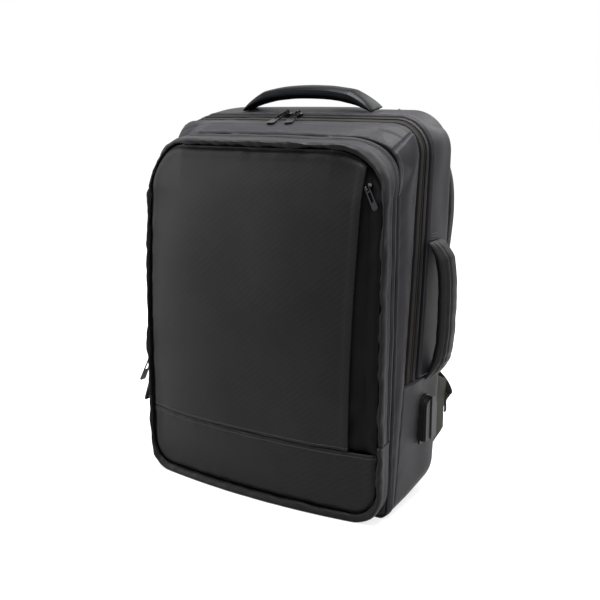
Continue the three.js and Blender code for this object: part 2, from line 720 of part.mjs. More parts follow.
function chargingPort() {
  const top = portLow + portHeight;
  const plate = portSlab(portWidth, portLow, top, 0, portPlate, portPlace);
  const hoodWidth = portWidth - 4;
  const hoodTop = top - 3;
  const seat = portLow + 3;
  const full = portSlab(hoodWidth, seat, hoodTop, portPlate - 0.1, portPlate + portReach * 0.72, portPlace);
  const crown = portSlab(hoodWidth - 4, seat, hoodTop - 2, portPlate - 0.1, portPlate + portReach, portPlace);
  const centre = portFace() + portPlate + portReach / 2 - 0.6;
  const socket = block(
    centre - socketDepth / 2,
    centre + socketDepth / 2,
    portPlace - socketWidth / 2,
    portPlace + socketWidth / 2,
    portLow - 1,
    seat + socketReach,
  );
  const housing = plate.add(full).add(crown).subtract(socket);
  const coverFrom = portPlace + 1;
  const shell = portSlab(
    hoodWidth + 2.4,
    seat,
    hoodTop + 1.2,
    portPlate + seamGap,
    portPlate + portReach + 1.6,
    portPlace,
  );
  const hollow = portSlab(
    hoodWidth + 2 * seamGap,
    seat - 1,
    hoodTop + seamGap,
    -1,
    portPlate + portReach + seamGap,
    portPlace,
  );
  const cover = shell
    .subtract(hollow)
    .intersect(block(-far, far, coverFrom, far, -far, far));
  return { housing, cover };
}

// Zip slider: a flat body on the coil with a bail over the pull's crossbar. The crossbar's middle is the
// origin, Y runs along the pull and Z out of the tape.
function slider(turn) {
  const shape = new THREE.Shape();
  const [w, l] = [sliderWidth / 2, sliderLength / 2];
  const outlinePoints = [
    [-w, -l * 0.35],
    [-w * 0.55, -l],
    [w * 0.55, -l],
    [w, -l * 0.35],
    [w * 0.86, l * 0.8],
    [w * 0.5, l],
    [-w * 0.5, l],
    [-w * 0.86, l * 0.8],
  ];
  shape.setFromPoints(outlinePoints.map(([x, y]) => new THREE.Vector2(x, y)));
  const body = new THREE.ExtrudeGeometry(shape, { depth: sliderHeight, bevelEnabled: false });
  body.rotateZ(turn).translate(0, 0, -bailFoot - sliderHeight);
  const outer = bailInner + bailThickness;
  const bow = new THREE.Shape();
  bow.moveTo(outer, -bailFoot - 0.2);
  bow.absarc(0, 0, outer, 0, Math.PI);
  bow.lineTo(-outer, -bailFoot - 0.2);
  bow.lineTo(-bailInner, -bailFoot - 0.2);
  bow.absarc(0, 0, bailInner, Math.PI, 0, true);
  bow.lineTo(bailInner, -bailFoot - 0.2);
  const bail = new THREE.ExtrudeGeometry(bow, { depth: bailWidth, bevelEnabled: false, curveSegments: 5 });
  bail.translate(0, 0, -bailWidth / 2);
  bail.applyMatrix4(new THREE.Matrix4().makeBasis(axisY, axisZ, axisX));
  return solid(body).add(solid(bail));
}

// Pull: a tapered plate with a hole for the bail and a window below it.
function pull(length, width) {
  const [neck, foot] = [pullNeck / 2, width / 2];
  const shape = new THREE.Shape();
  shape.setFromPoints(
    [
      [-neck, -crossbar],
      [neck, -crossbar],
      [neck, length * 0.2],
      [foot, length - 2],
      [foot - 1.4, length],
      [1.4 - foot, length],
      [-foot, length - 2],
      [-neck, length * 0.2],
    ].map(([x, y]) => new THREE.Vector2(x, y)),
  );
  const hole = (half, from, to, top) => {
    const path = new THREE.Path();
    path.setFromPoints(
      [[-half, from], [-top, to], [top, to], [half, from]].map(([x, y]) => new THREE.Vector2(x, y)),
    );
    return path;
  };
  const eye = bailInner + bailThickness + 1.2;
  shape.holes.push(hole(neck - 1, crossbar, eye, neck - 1));
  shape.holes.push(hole(neck - 1.3, eye + 1.6, length * 0.66, foot - 2));
  const plate = new THREE.ExtrudeGeometry(shape, { depth: pullThickness, bevelEnabled: false });
  return solid(plate.translate(0, 0, -pullThickness / 2));
}

// Where each slider sits: its point on the tape, the tape's outward direction, the zip's direction and the
// way its pull lies.
function sliderPlaces() {
  const zipPlace = mix(ZIP_FRONT, ZIP_REAR, coilShare);
  const top = (x, drift) => {
    const here = topPoint(zipPlace, x);
    const slope = topPoint(ZIP_FRONT, x).sub(topPoint(ZIP_REAR, x)).normalize();
    const out = new THREE.Vector3().crossVectors(slope, axisX).normalize();
    const hinge = here.addScaledVector(out, coilHeight + seamGap - tapeRecess + hingeHeight);
    const tip = topPoint(placeAtDepth(hinge.y - pullLength, bodyHeight, RIM, ZIP_FRONT), x + drift);
    tip.addScaledVector(out, pullThickness / 2 + bandCrown + 2 * seamGap);
    return { hinge, out, zip: axisX, lie: tip.sub(hinge) };
  };
  const pocketPlace = (POCKET_ZIP_REAR + POCKET_ZIP_FRONT) / 2;
  const left = (z, swing) => {
    const here = pocketSide(pocketPlace, z, -1);
    const out = new THREE.Vector3(-1, 0, 0);
    const hinge = here.addScaledVector(out, pocketSliderSeat + hingeHeight);
    return { hinge, out, zip: axisZ, lie: new THREE.Vector3(-Math.sin(swing), 0, -Math.cos(swing)) };
  };
  const strip = (z) => {
    const edge = flapEdge + (z - flapMiddle) * Math.tan((flapLean * Math.PI) / 180);
    const x = edge + sliderWidth / 2 + flapSliderGap;
    const sunk = (u, v) => panelDepth(x + u, z + v) + stripRecess * stripSink(x + u);
    const face = (u, v) => new THREE.Vector3(x + u, sunk(u, v), z + v);
    const here = face(0, 0);
    const out = new THREE.Vector3()
      .crossVectors(face(0, 1).sub(here), face(1, 0).sub(here))
      .normalize();
    if (out.y > 0) out.negate();
    const tip = face(flapPullLength * 0.5, -flapPullLength * 0.85);
    tip.addScaledVector(out, pullThickness / 2 + flapPullClear);
    const hinge = here.addScaledVector(out, flapSliderSeat + hingeHeight);
    return { hinge, out, zip: axisZ, lie: tip.sub(hinge) };
  };
  const pocketSliderLow = pocketSliderHeight - pocketSliderApart;
  return [
    { name: "main_left", length: pullLength, foot: pullFoot, ...top(mainLeftPlace, mainLeftDrift) },
    { name: "main_right", length: pullLength, foot: pullFoot, ...top(mainRightPlace, mainRightDrift) },
    { name: "pocket_upper", length: pullLength, foot: pullFoot, ...left(pocketSliderHeight, 0.45) },
    { name: "pocket_lower", length: pullLength, foot: pullFoot, ...left(pocketSliderLow, 0.3) },
    { name: "flap", length: flapPullLength, foot: flapPullFoot, ...strip(bodyHeight - flapSliderDrop) },
  ];
}

// Materials
const cloth = (colour, roughness = 0.75) =>
  new THREE.MeshStandardMaterial({ color: colour, roughness, metalness: 0 });
const materials = {
  shell: cloth(0x3a3a3d),
  panel: cloth(0x2f2f31, 0.6),
  strip: cloth(0x1c1c1e, 0.7),
  padding: cloth(0x2b2b29, 0.9),
  tape: cloth(0x1a1a1b, 0.85),
  web: cloth(0x26261f, 0.85),
  handle: cloth(0x35383b, 0.45),
  metal: new THREE.MeshStandardMaterial({ color: 0x2c2c2e, roughness: 0.3, metalness: 0.9 }),
  plastic: new THREE.MeshStandardMaterial({ color: 0x121213, roughness: 0.4, metalness: 0 }),
  gloss: new THREE.MeshStandardMaterial({ color: 0x6c6c6e, roughness: 0.25, metalness: 0 }),
};

// The backpack
const backpack = new THREE.Group();

function add(name, made, material, parent = backpack) {
  const mesh = new THREE.Mesh(geometryOf(made), material);
  mesh.name = name;
  parent.add(mesh);
  return mesh;
}

const aboveBase = above(baseSeam + seamGap / 2);
const belowBase = below(baseSeam - seamGap / 2);
add("front_gusset", bodyBand(RIM, ZIP_FRONT, 4, { crown: bandCrown }), materials.shell);
add("rear_gusset", bodyBand(ZIP_REAR, REAR_EDGE, 4).intersect(aboveBase), materials.shell);
add("base_gusset", bodyBand(ZIP_FRONT, REAR_EDGE, 6).intersect(belowBase), materials.shell);
add("front_wall", frontWall(), materials.shell);
add("back_panel", backPanel(), materials.padding);
const tapeBand = { depth: tapeWall, recess: tapeRecess };
add("main_zip_tape", bodyBand(ZIP_FRONT, ZIP_REAR, 2, tapeBand).intersect(aboveBase), materials.tape);

// The coil rides on its tape and keeps its width.
const zipWidth = bodyDepth * (bodySeams[ZIP_REAR].head - bodySeams[ZIP_FRONT].head);
const coilMiddle = mix(ZIP_FRONT, ZIP_REAR, coilShare);
const coilReach = coilWidth / 2 / zipWidth;
const coilBand = { depth: coilHeight, recess: tapeRecess - seamGap - coilHeight };
const coil = bodyBand(coilMiddle - coilReach, coilMiddle + coilReach, 1, coilBand);
add("main_zip_coil", coil.intersect(above(baseSeam + seamGap)), materials.tape);

const abovePocketBase = above(pocketBaseSeam + seamGap / 2);
const belowPocketBase = below(pocketBaseSeam - seamGap / 2);
add("pocket_gusset", pocketBand(POCKET_ZIP_FRONT, GUTTER, 6).intersect(abovePocketBase), materials.shell);
add("pocket_rear_band", pocketBand(SEAM, POCKET_ZIP_REAR, 1).intersect(abovePocketBase), materials.shell);
add(
  "pocket_zip_tape",
  pocketBand(POCKET_ZIP_REAR, POCKET_ZIP_FRONT, 1, tapeWall, tapeRecess / 2).intersect(abovePocketBase),
  materials.tape,
);
add("pocket_base", pocketBand(SEAM, GUTTER, 8).intersect(belowPocketBase), materials.shell);

const panels = frontPanels();
add("front_flap", panels.flap, materials.panel);
add("front_side_strip", panels.strip, materials.strip);
add("front_lower_panel", panels.lower, materials.panel);

add("top_handle", topHandle(), materials.handle);
add("side_handle", sideHandle(), materials.handle);

for (const [name, side] of [["left", -1], ["right", 1]]) {
  add(`shoulder_strap_${name}`, strap(side), materials.padding);
  const adjuster = buckle(side);
  add(`strap_buckle_${name}`, adjuster.made, materials.plastic).position.copy(adjuster.middle);
  add(`strap_webbing_${name}`, webbing(side), materials.web);
  add(`strap_wing_${name}`, wing(side), materials.web);
}

const port = chargingPort();
add("port_housing", port.housing, materials.plastic);
add("port_cover", port.cover, materials.gloss);

for (const place of sliderPlaces()) {
  const hinge = place.hinge;
  const flat = place.lie.clone().addScaledVector(place.out, -place.lie.dot(place.out)).normalize();
  const across = new THREE.Vector3().crossVectors(flat, place.out).normalize();
  const seat = new THREE.Group();
  seat.position.copy(hinge);
  seat.quaternion.setFromRotationMatrix(new THREE.Matrix4().makeBasis(across, flat, place.out));
  backpack.add(seat);
  const turn = Math.atan2(-place.zip.dot(across), place.zip.dot(flat));
  add(`${place.name}_slider`, slider(turn), materials.metal, seat);
  const hanging = new THREE.Group();
  const lie = place.lie.clone().normalize();
  const out = new THREE.Vector3().crossVectors(across, lie).normalize();
  hanging.position.copy(hinge);
  hanging.quaternion.setFromRotationMatrix(new THREE.Matrix4().makeBasis(across, lie, out));
  backpack.add(hanging);
  add(`${place.name}_pull`, pull(place.length, place.foot), materials.metal, hanging);
}

export default backpack;
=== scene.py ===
# Looks of the laptop backpack: cloth, zips, handles, straps and metal, built round its solids.
#
# Tables and functions are in millimetres, meshes in metres. +Z is up, the front faces -Y, and the origin
# lies on the base.

import math

import bmesh
import bpy
import numpy as np
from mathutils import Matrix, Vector


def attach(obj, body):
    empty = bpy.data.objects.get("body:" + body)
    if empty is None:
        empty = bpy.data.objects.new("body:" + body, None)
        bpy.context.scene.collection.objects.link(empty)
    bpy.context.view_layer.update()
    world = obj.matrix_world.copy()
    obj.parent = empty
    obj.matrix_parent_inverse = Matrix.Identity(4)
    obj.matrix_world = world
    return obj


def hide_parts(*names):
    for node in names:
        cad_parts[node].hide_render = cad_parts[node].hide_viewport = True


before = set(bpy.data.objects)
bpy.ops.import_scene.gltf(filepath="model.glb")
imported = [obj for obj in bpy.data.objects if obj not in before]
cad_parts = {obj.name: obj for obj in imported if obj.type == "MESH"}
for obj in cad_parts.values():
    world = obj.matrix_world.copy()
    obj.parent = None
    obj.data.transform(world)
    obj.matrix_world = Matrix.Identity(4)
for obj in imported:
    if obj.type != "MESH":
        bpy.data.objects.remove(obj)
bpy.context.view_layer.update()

MM = 0.001
TAU = 2 * math.pi
FAR = 1e3
FRONTWARDS = np.array([0.0, -1.0, 0.0])

# Sizes of the solids
BODY_HEIGHT, BODY_WIDTH, BODY_DEPTH = 440, 322, 137
RIM_PLACE, RIM_CORNER, CORNER_EASE = -49, 60, 20
SIDE_BOW, TOP_BOW, WALL = 2.4, 1.5, 2.2
BASE_SEAM = 146
POCKET_DEPTH, POCKET_FOOT_SHARE, POCKET_SWELL = 28, 0.8, 7
POCKET_PLAN_BOW, POCKET_SAG, POCKET_LEAN = 8, 8, 14
POCKET_BASE_SEAM = 93
BAND_CROWN, PANEL_CROWN, PANEL_SEAM = 2.2, 16, 81
FLAP_EDGE, FLAP_MIDDLE, FLAP_LEAN = 131, 245, math.tan(math.radians(2))
FLAP_OVERLAP, STRIP_RECESS = 8, 5.5
BODY_CORNERS = {"top": 48, "base": 34}
POCKET_CORNERS = {"top": 56, "base": 29}
BACK_WALL, BACK_PAD_RISE = 4, 5
HANDLE_TAB, TAB_SPREAD = 4, 3
STRAP_WIDTH, STRAP_THICKNESS, STRAP_END_WIDTH = 64, 12, 34

# Half the gap between two bands along a cross seam, a coil's gap there, the gap between pieces that lie on
# one another, and the thickness of a zip's tape
SEAM_GAP, COIL_GAP, CLEAR, TAPE = 0.2, 0.4, 0.3, 1.4


def table(columns, *rows):
    """Rows of numbers under named columns."""
    names = columns.split()
    return [dict(zip(names, row)) for row in rows]


BODY = table(
    "foot head half low high top base left ease",
    (-0.058, 0, 0.988, 0, 0.936, 1.25, 0.3, 1, 1),
    (0.022, 0.336, 1, 0, 0.966, 0.68, 0.42, 0.72, 0.1),
    (0.292, 0.577, 1.002, 0, 0.982, 0.86, 0.6, 0.55, 0),
    (0.723, 0.942, 0.997, 0, 1, 1, 1, 0.7, 0),
    (0.79, 1, 0.969, 0.03, 0.99, 1, 1.1, 0.75, 0),
)
RIM, ZIP_FRONT, ZIP_REAR, CREST, REAR_EDGE = range(5)
POCKET = table(
    "forward half low high top base left ease",
    (0.015, 0.988, 0.009, 0.934, 1.06, 0.93, 1, 1),
    (0.22, 0.995, 0.007, 0.931, 1.03, 1, 0.96, 0.9),
    (0.42, 0.999, 0.004, 0.929, 1, 1.03, 0.92, 0.8),
    (0.84, 1.004, 0, 0.923, 1, 1.1, 0.82, 0.6),
    (0.98, 0.993, 0.002, 0.919, 1, 1.07, 0.8, 0.5),
    (0.98, 0.978, 0.012, 0.913, 1, 1, 0.8, 0.4),
    (0.84, 0.966, 0.022, 0.907, 1, 0.95, 0.8, 0.4),
)
SEAM, POCKET_ZIP_REAR, POCKET_ZIP_FRONT, RIDGE, _, LIP, GUTTER = range(7)


# Shape of the skin


def mix(a, b, t):
    """From a at 0 to b at 1."""
    return a + (b - a) * t


def smoothstep(low, high, x):
    """0 below low, 1 above high, and 3t^2 - 2t^3 between them."""
    t = np.clip((x - low) / (high - low), 0, 1)
    return t * t * (3 - 2 * t)


def row_at(rows, place):
    """Row of a table at a place between two of its rows."""
    low = int(min(math.floor(place), len(rows) - 2))
    return {key: mix(rows[low][key], rows[low + 1][key], place - low) for key in rows[low]}


def eased_corner(x, z):
    """How far back the rim's top corners are drawn at a point: by the product of its shares of the corner
    along X and Z, doubled and capped."""
    side = (np.abs(x) - BODY_WIDTH / 2 * BODY[RIM]["half"]) / RIM_CORNER + 1
    up = (z - BODY_HEIGHT * BODY[RIM]["high"]) / RIM_CORNER + 1
    return CORNER_EASE * np.minimum(1, 2 * np.maximum(0, side) * np.maximum(0, up))


def depth_at(row, x, z):
    """Where a seam of the main compartment stands along Y: it runs straight from its foot to its head."""
    place = RIM_PLACE + BODY_DEPTH * mix(row["foot"], row["head"], z / BODY_HEIGHT)
    return place + row["ease"] * eased_corner(x, z)


def pocket_reach(x, z):
    """How far the pocket's front edge stands out of the rim: evenly more towards the top, with a half sine
    over the height, a parabola over the width, and a sag in the lowest third."""
    up = z / BODY_HEIGHT
    across = 1 - (x / (BODY_WIDTH / 2)) ** 2
    sag = POCKET_SAG * np.maximum(0, 1 - 3 * up) ** 2
    reach = POCKET_DEPTH * mix(POCKET_FOOT_SHARE, 1, up) + POCKET_SWELL * np.sin(np.pi * up)
    return reach + (POCKET_PLAN_BOW + sag) * across


def pocket_depth_at(row, x, z):
    """Where a line of the pocket stands along Y: its share of the reach before the rim."""
    return depth_at({**BODY[RIM], "ease": row["ease"]}, x, z) - row["forward"] * pocket_reach(x, z)


def leaned(row, x, z):
    """The pocket's left side leans in towards the top."""
    share = row["forward"] * np.maximum(0, -x) / (BODY_WIDTH / 2)
    return x + share * POCKET_LEAN * mix(-0.17, 1, z / BODY_HEIGHT)


def belly(x, z, half, low, high):
    """Sides and top belly out a little: by a half sine over the height and a cosine over the width."""
    up = (z - low) / (high - low)
    out = 1 + SIDE_BOW / (BODY_WIDTH / 2) * np.sin(np.pi * np.clip(up, 0, 1))
    rise = TOP_BOW * np.maximum(0, 2 * up - 1) ** 2 * np.cos(np.pi * x / (2 * half))
    return x * out, z + rise


STEPS = {"side": 150, "top": 36, "level": 110, "foot": 16}


def outline(row, corners, inset=0.0, lift=None, part="ring", cut=0.0, steps=STEPS):
    """Points of a rounded rectangle in the X-Z plane. "upper" runs from the cut's height on the right over
    the top to the left, "lower" from the cut on the left under the base to the right, "ring" all round."""
    lift = inset if lift is None else lift
    half = BODY_WIDTH / 2 * row["half"] - inset
    low = BODY_HEIGHT * row["low"] + lift
    high = BODY_HEIGHT * row["high"] - inset
    top = max(corners["top"] * row["top"] - inset, WALL)
    left = max(corners["top"] * row["top"] * row["left"] - inset, WALL)
    base = max(corners["base"] * row["base"] - inset, WALL)
    turns = (
        (half - top, high - top, top, 0, steps["top"]),
        (left - half, high - left, left, np.pi / 2, steps["top"]),
        (base - half, low + base, base, np.pi, steps["foot"]),
        (half - base, low + base, base, -np.pi / 2, steps["foot"]),
    )
    share = {"ring": 1, "upper": 1 - cut / BODY_HEIGHT, "lower": cut / BODY_HEIGHT}[part]
    side = max(int(steps["side"] * share), 4)
    here = {"ring": (half, low + base), "upper": (half, cut), "lower": (-half, cut)}[part]
    chosen = {"ring": turns, "upper": turns[:2], "lower": turns[2:]}[part]
    points = []

    def line_to(there, count):
        t = np.arange(count)[:, None] / count
        points.append(mix(np.array(here), np.array(there), t))

    for i, (x, z, radius, start, count) in enumerate(chosen):
        angle = start + np.pi / 2 * np.arange(count + 1) / count
        arc = np.stack([x + radius * np.cos(angle), z + radius * np.sin(angle)], 1)
        line_to(arc[0], steps["level"] if i % 2 else side)
        points.append(arc[:-1])
        here = arc[-1]
    if part != "ring":
        last = (-half if part == "upper" else half, cut)
        line_to(last, side)
        points.append(np.array([last]))
    flat = np.concatenate(points)
    return belly(flat[:, 0], flat[:, 1], half, low, high)


def body_grid(start, end, rows, recess=0.0, crown=0.0, **cut):
    """Skin of the main compartment between two seams: an array of rows x columns x 3."""
    grid = []
    for i, place in enumerate(np.linspace(start, end, rows)):
        row = row_at(BODY, place)
        swell = crown * math.sin(math.pi * i / (rows - 1))
        x, z = outline(row, BODY_CORNERS, recess - swell, recess, **cut)
        grid.append(np.stack([x, depth_at(row, x, z), z], 1))
    return np.array(grid)


def pocket_grid(start, end, rows, recess=0.0, **cut):
    """Skin of the pocket between two of its lines."""
    grid = []
    for place in np.linspace(start, end, rows):
        row = row_at(POCKET, place)
        x, z = outline(row, POCKET_CORNERS, recess, **cut)
        grid.append(np.stack([leaned(row, x, z), pocket_depth_at(row, x, z), z], 1))
    return np.array(grid)


def eased_rows(grid, passes):
    """Grid whose rows are smoothed: each becomes half itself and a quarter of both its neighbours."""
    grid = grid.copy()
    for _ in range(passes):
        grid[1:-1] = 0.25 * grid[:-2] + 0.5 * grid[1:-1] + 0.25 * grid[2:]
    return grid


def normals_of(grid, closed, outward):
    """Unit normals of a grid, the cross product of its directions, on the side of the outward directions."""
    if closed:
        along = np.roll(grid, -1, 1) - np.roll(grid, 1, 1)
    else:
        along = np.gradient(grid, axis=1)
    across = np.gradient(grid, axis=0)
    normal = np.cross(along, across)
    length = np.linalg.norm(normal, axis=2, keepdims=True)
    normal = normal / np.maximum(length, 1e-9)
    if np.sum(normal * outward) < 0:
        normal = -normal
    return normal


def run_of(points):
    """Arc length along a row of points, from 0."""
    return np.concatenate([[0], np.cumsum(np.linalg.norm(np.diff(points, axis=0), axis=1))])


def lengths_of(grid):
    """Arc length along the columns, of the middle row, and across the rows, in mm."""
    step = np.linalg.norm(np.diff(grid, axis=0), axis=2)
    across = np.concatenate([np.zeros((1, grid.shape[1])), np.cumsum(step, axis=0)])
    return np.broadcast_to(run_of(grid[len(grid) // 2]), across.shape), across


WAVES = 14


def noise(seed, a, b, size, stretch=1.0):
    """Smooth random swell of two lengths in mm, about -1 to 1: a sum of sines in random directions, whose
    wavelength is about the size along a, and longer by the stretch along b."""
    draw = np.random.default_rng(seed)
    total = 0
    for _ in range(WAVES):
        angle = draw.uniform(0, TAU)
        scale = TAU / (size * draw.uniform(0.6, 1.7))
        run = np.cos(angle) * a + np.sin(angle) * b / stretch
        total = total + np.sin(scale * run + draw.uniform(0, TAU))
    return total / math.sqrt(WAVES)


# Meshes


def make_mesh(name, points, faces, uvs=None):
    """Object of points in mm, faces, and lengths in mm per point for its map."""
    mesh = bpy.data.meshes.new(name)
    mesh.from_pydata((np.asarray(points) * MM).tolist(), [], faces)
    if uvs is not None:
        layer = mesh.uv_layers.new(name="cloth")
        index = np.empty(len(mesh.loops), dtype=np.int32)
        mesh.loops.foreach_get("vertex_index", index)
        layer.data.foreach_set("uv", (np.asarray(uvs)[index] * MM).ravel())
    mesh.shade_smooth()
    mesh.update()
    obj = bpy.data.objects.new(name, mesh)
    bpy.context.scene.collection.objects.link(obj)
    return obj


def face_outwards(obj):
    """All faces of a closed body point out."""
    made = bmesh.new()
    made.from_mesh(obj.data)
    bmesh.ops.recalc_face_normals(made, faces=made.faces)
    made.to_mesh(obj.data)
    made.free()


def quads(a, b):
    """Faces between rows of vertices a and the rows b after them."""
    return np.stack([a[..., :-1], a[..., 1:], b[..., 1:], b[..., :-1]], -1).reshape(-1, 4)


def shell(name, outer, inner, closed, uv):
    """Closed body between two grids of the same shape."""
    rows, cols = outer.shape[:2]
    points = np.concatenate([outer.reshape(-1, 3), inner.reshape(-1, 3)])
    index = np.arange(rows * cols).reshape(rows, cols)
    if closed:
        index = np.concatenate([index, index[:, :1]], 1)
    under = index + rows * cols
    faces = [quads(index[:-1], index[1:]), quads(under[1:], under[:-1])]
    faces += [quads(under[0], index[0]), quads(index[-1], under[-1])]
    if not closed:
        faces += [quads(index[:, 0], under[:, 0]), quads(under[:, -1], index[:, -1])]
    flat = np.stack([uv[0].ravel(), uv[1].ravel()], 1)
    obj = make_mesh(name, points, np.concatenate(faces).tolist(), np.concatenate([flat, flat]))
    face_outwards(obj)
    return obj


def radial(grid):
    """Directions out of the bag's long axis."""
    away = grid - np.array([0, 0, BODY_HEIGHT / 2])
    away[..., 1] = 0
    return away


def band(name, grid, relief, look, node=None, closed=False, thickness=WALL, outward=None, across_map=None):
    """Cloth band in one of the looks: a grid of skin, raised along its normals by a relief in mm that is
    given its lengths along and across. Its map holds these lengths, unless another one across is given.
    Returns the raised skin and its normals."""
    normal = normals_of(grid, closed, radial(grid) if outward is None else outward)
    along, across = lengths_of(grid)
    outer = grid + normal * relief(along, across, grid)[..., None]
    inner = grid - normal * thickness
    mapped = across if across_map is None else across_map(across)
    obj = shell(name, outer, inner, closed, (along, mapped))
    finish_piece(obj, look, *([node] if node else []))
    return outer, normal


def bell(distance, width):
    """1 at no distance, dying away as exp(-(distance / width) ^ 2)."""
    return np.exp(-((distance / width) ** 2))


def welts(distance, *marks):
    """Bell-shaped welts beside a seam. Each mark is a distance, a height (a furrow's is below 0), a width."""
    return sum(height * bell(distance - at, width) for at, height, width in marks)


def puckers(seed, along, distance, height, pitch, reach):
    """Small gathers at right angles to a seam, dying away from it."""
    swell = noise(seed, along, distance, pitch, stretch=4)
    return height * swell * np.exp(-np.abs(distance) / reach)


def angles(steps):
    """Angles of the points round a lofted section."""
    return TAU * (np.arange(steps) + 0.5) / steps


def lofted(stations, steps, power):
    """Grid along stations of middle, across, width and height, whose section is a superellipse: cosine and
    sine of the angle, raised to the power. Also returns the directions across and out at each station."""
    middles, across, width, height = (
        np.array([s[key] for s in stations], dtype=float) for key in ("middle", "across", "width", "height")
    )
    tangent = np.gradient(middles, axis=0)
    tangent /= np.linalg.norm(tangent, axis=1, keepdims=True)
    across -= tangent * np.sum(across * tangent, axis=1, keepdims=True)
    across /= np.linalg.norm(across, axis=1, keepdims=True)
    out = np.cross(across, tangent)
    u, v = (np.sign(w) * np.abs(w) ** power / 2 for w in (np.cos(angles(steps)), np.sin(angles(steps))))
    sides = across[:, None] * (u[None, :, None] * width[:, None, None])
    return middles[:, None] + sides + out[:, None] * (v[None, :, None] * height[:, None, None]), across, out


def out_of_middle(grid):
    """Unit directions out of the middle line of a lofted grid, and the length along this line."""
    centre = grid.mean(1, keepdims=True)
    away = grid - centre
    return away / np.linalg.norm(away, axis=2, keepdims=True), run_of(centre[:, 0])


def capped(name, grid, flat=False):
    """Closed body of a grid whose columns run round, capped at both ends. Its map holds the lengths round
    and along, or if flat the places along X and Z."""
    rows, cols = grid.shape[:2]
    points = np.concatenate([grid.reshape(-1, 3), grid[:1].mean(1), grid[-1:].mean(1)])
    index = np.arange(rows * cols).reshape(rows, cols)
    index = np.concatenate([index, index[:, :1]], 1)
    faces = quads(index[:-1], index[1:]).tolist()
    for row, middle in ((0, rows * cols), (rows - 1, rows * cols + 1)):
        faces += np.stack([index[row, :-1], index[row, 1:], np.full(cols, middle)], 1).tolist()
    if flat:
        uvs = points[:, [0, 2]]
    else:
        length = run_of(grid.mean(1))
        u, v = np.meshgrid(run_of(grid[rows // 2]), length)
        uvs = np.concatenate([np.stack([u.ravel(), v.ravel()], 1), [[0, 0], [0, length[-1]]]])
    obj = make_mesh(name, points, faces, uvs)
    face_outwards(obj)
    return obj


def points_of(mesh):
    """Vertices of a mesh in mm."""
    flat = np.empty(len(mesh.vertices) * 3)
    mesh.vertices.foreach_get("co", flat)
    return flat.reshape(-1, 3) / MM


VOXEL, PRESSURE, FRAMES, LEVELS = 4, 4, 20, 10


def baked(obj):
    """Mesh of an object with its modifiers."""
    return bpy.data.meshes.new_from_object(obj.evaluated_get(bpy.context.evaluated_depsgraph_get()))


def inflated(obj, cap, held):
    """Padding pressed out by simulation: the piece is remeshed and blown up as cloth, and each point then
    moves by the cap in mm at most. The function held gives each point's share that is sewn down."""
    remesh = obj.modifiers.new("remesh", "REMESH")
    remesh.mode, remesh.voxel_size = "VOXEL", VOXEL * MM
    bpy.context.view_layer.update()
    made = baked(obj)
    obj.modifiers.remove(remesh)
    obj.data = made
    before = points_of(made)
    sewn = np.clip(held(before), 0, 1)
    group = obj.vertex_groups.new(name="sewn")
    for level in range(LEVELS + 1):
        group.add(np.where(np.round(sewn * LEVELS) == level)[0].tolist(), level / LEVELS, "REPLACE")
    cloth = obj.modifiers.new("padding", "CLOTH")
    cloth.settings.quality = 6
    cloth.settings.use_pressure = True
    cloth.settings.uniform_pressure_force = PRESSURE
    cloth.settings.effector_weights.gravity = 0
    cloth.settings.vertex_group_mass = "sewn"
    cloth.point_cache.frame_end = FRAMES
    for moment in range(1, FRAMES + 1):
        bpy.context.scene.frame_set(moment)
    blown = baked(obj)
    obj.modifiers.remove(cloth)
    bpy.context.scene.frame_set(1)
    move = points_of(blown) - before
    far = np.linalg.norm(move, axis=1, keepdims=True)
    move *= np.minimum(1, cap / np.maximum(far, 1e-6)) * (1 - sewn[:, None])
    made.vertices.foreach_set("co", ((before + move) * MM).ravel())
    made.shade_smooth()
    made.update()
    bpy.data.meshes.remove(blown)
    obj.vertex_groups.clear()
    finer = obj.modifiers.new("finer", "SUBSURF")
    finer.levels = finer.render_levels = 1


def finish_piece(obj, look, *nodes):
    """Gives a piece its look, hides the solids that it stands for, and ties it to the bag."""
    obj.data.materials.append(MATERIALS[look])
    if nodes:
        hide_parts(*nodes)
    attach(obj, "bag")


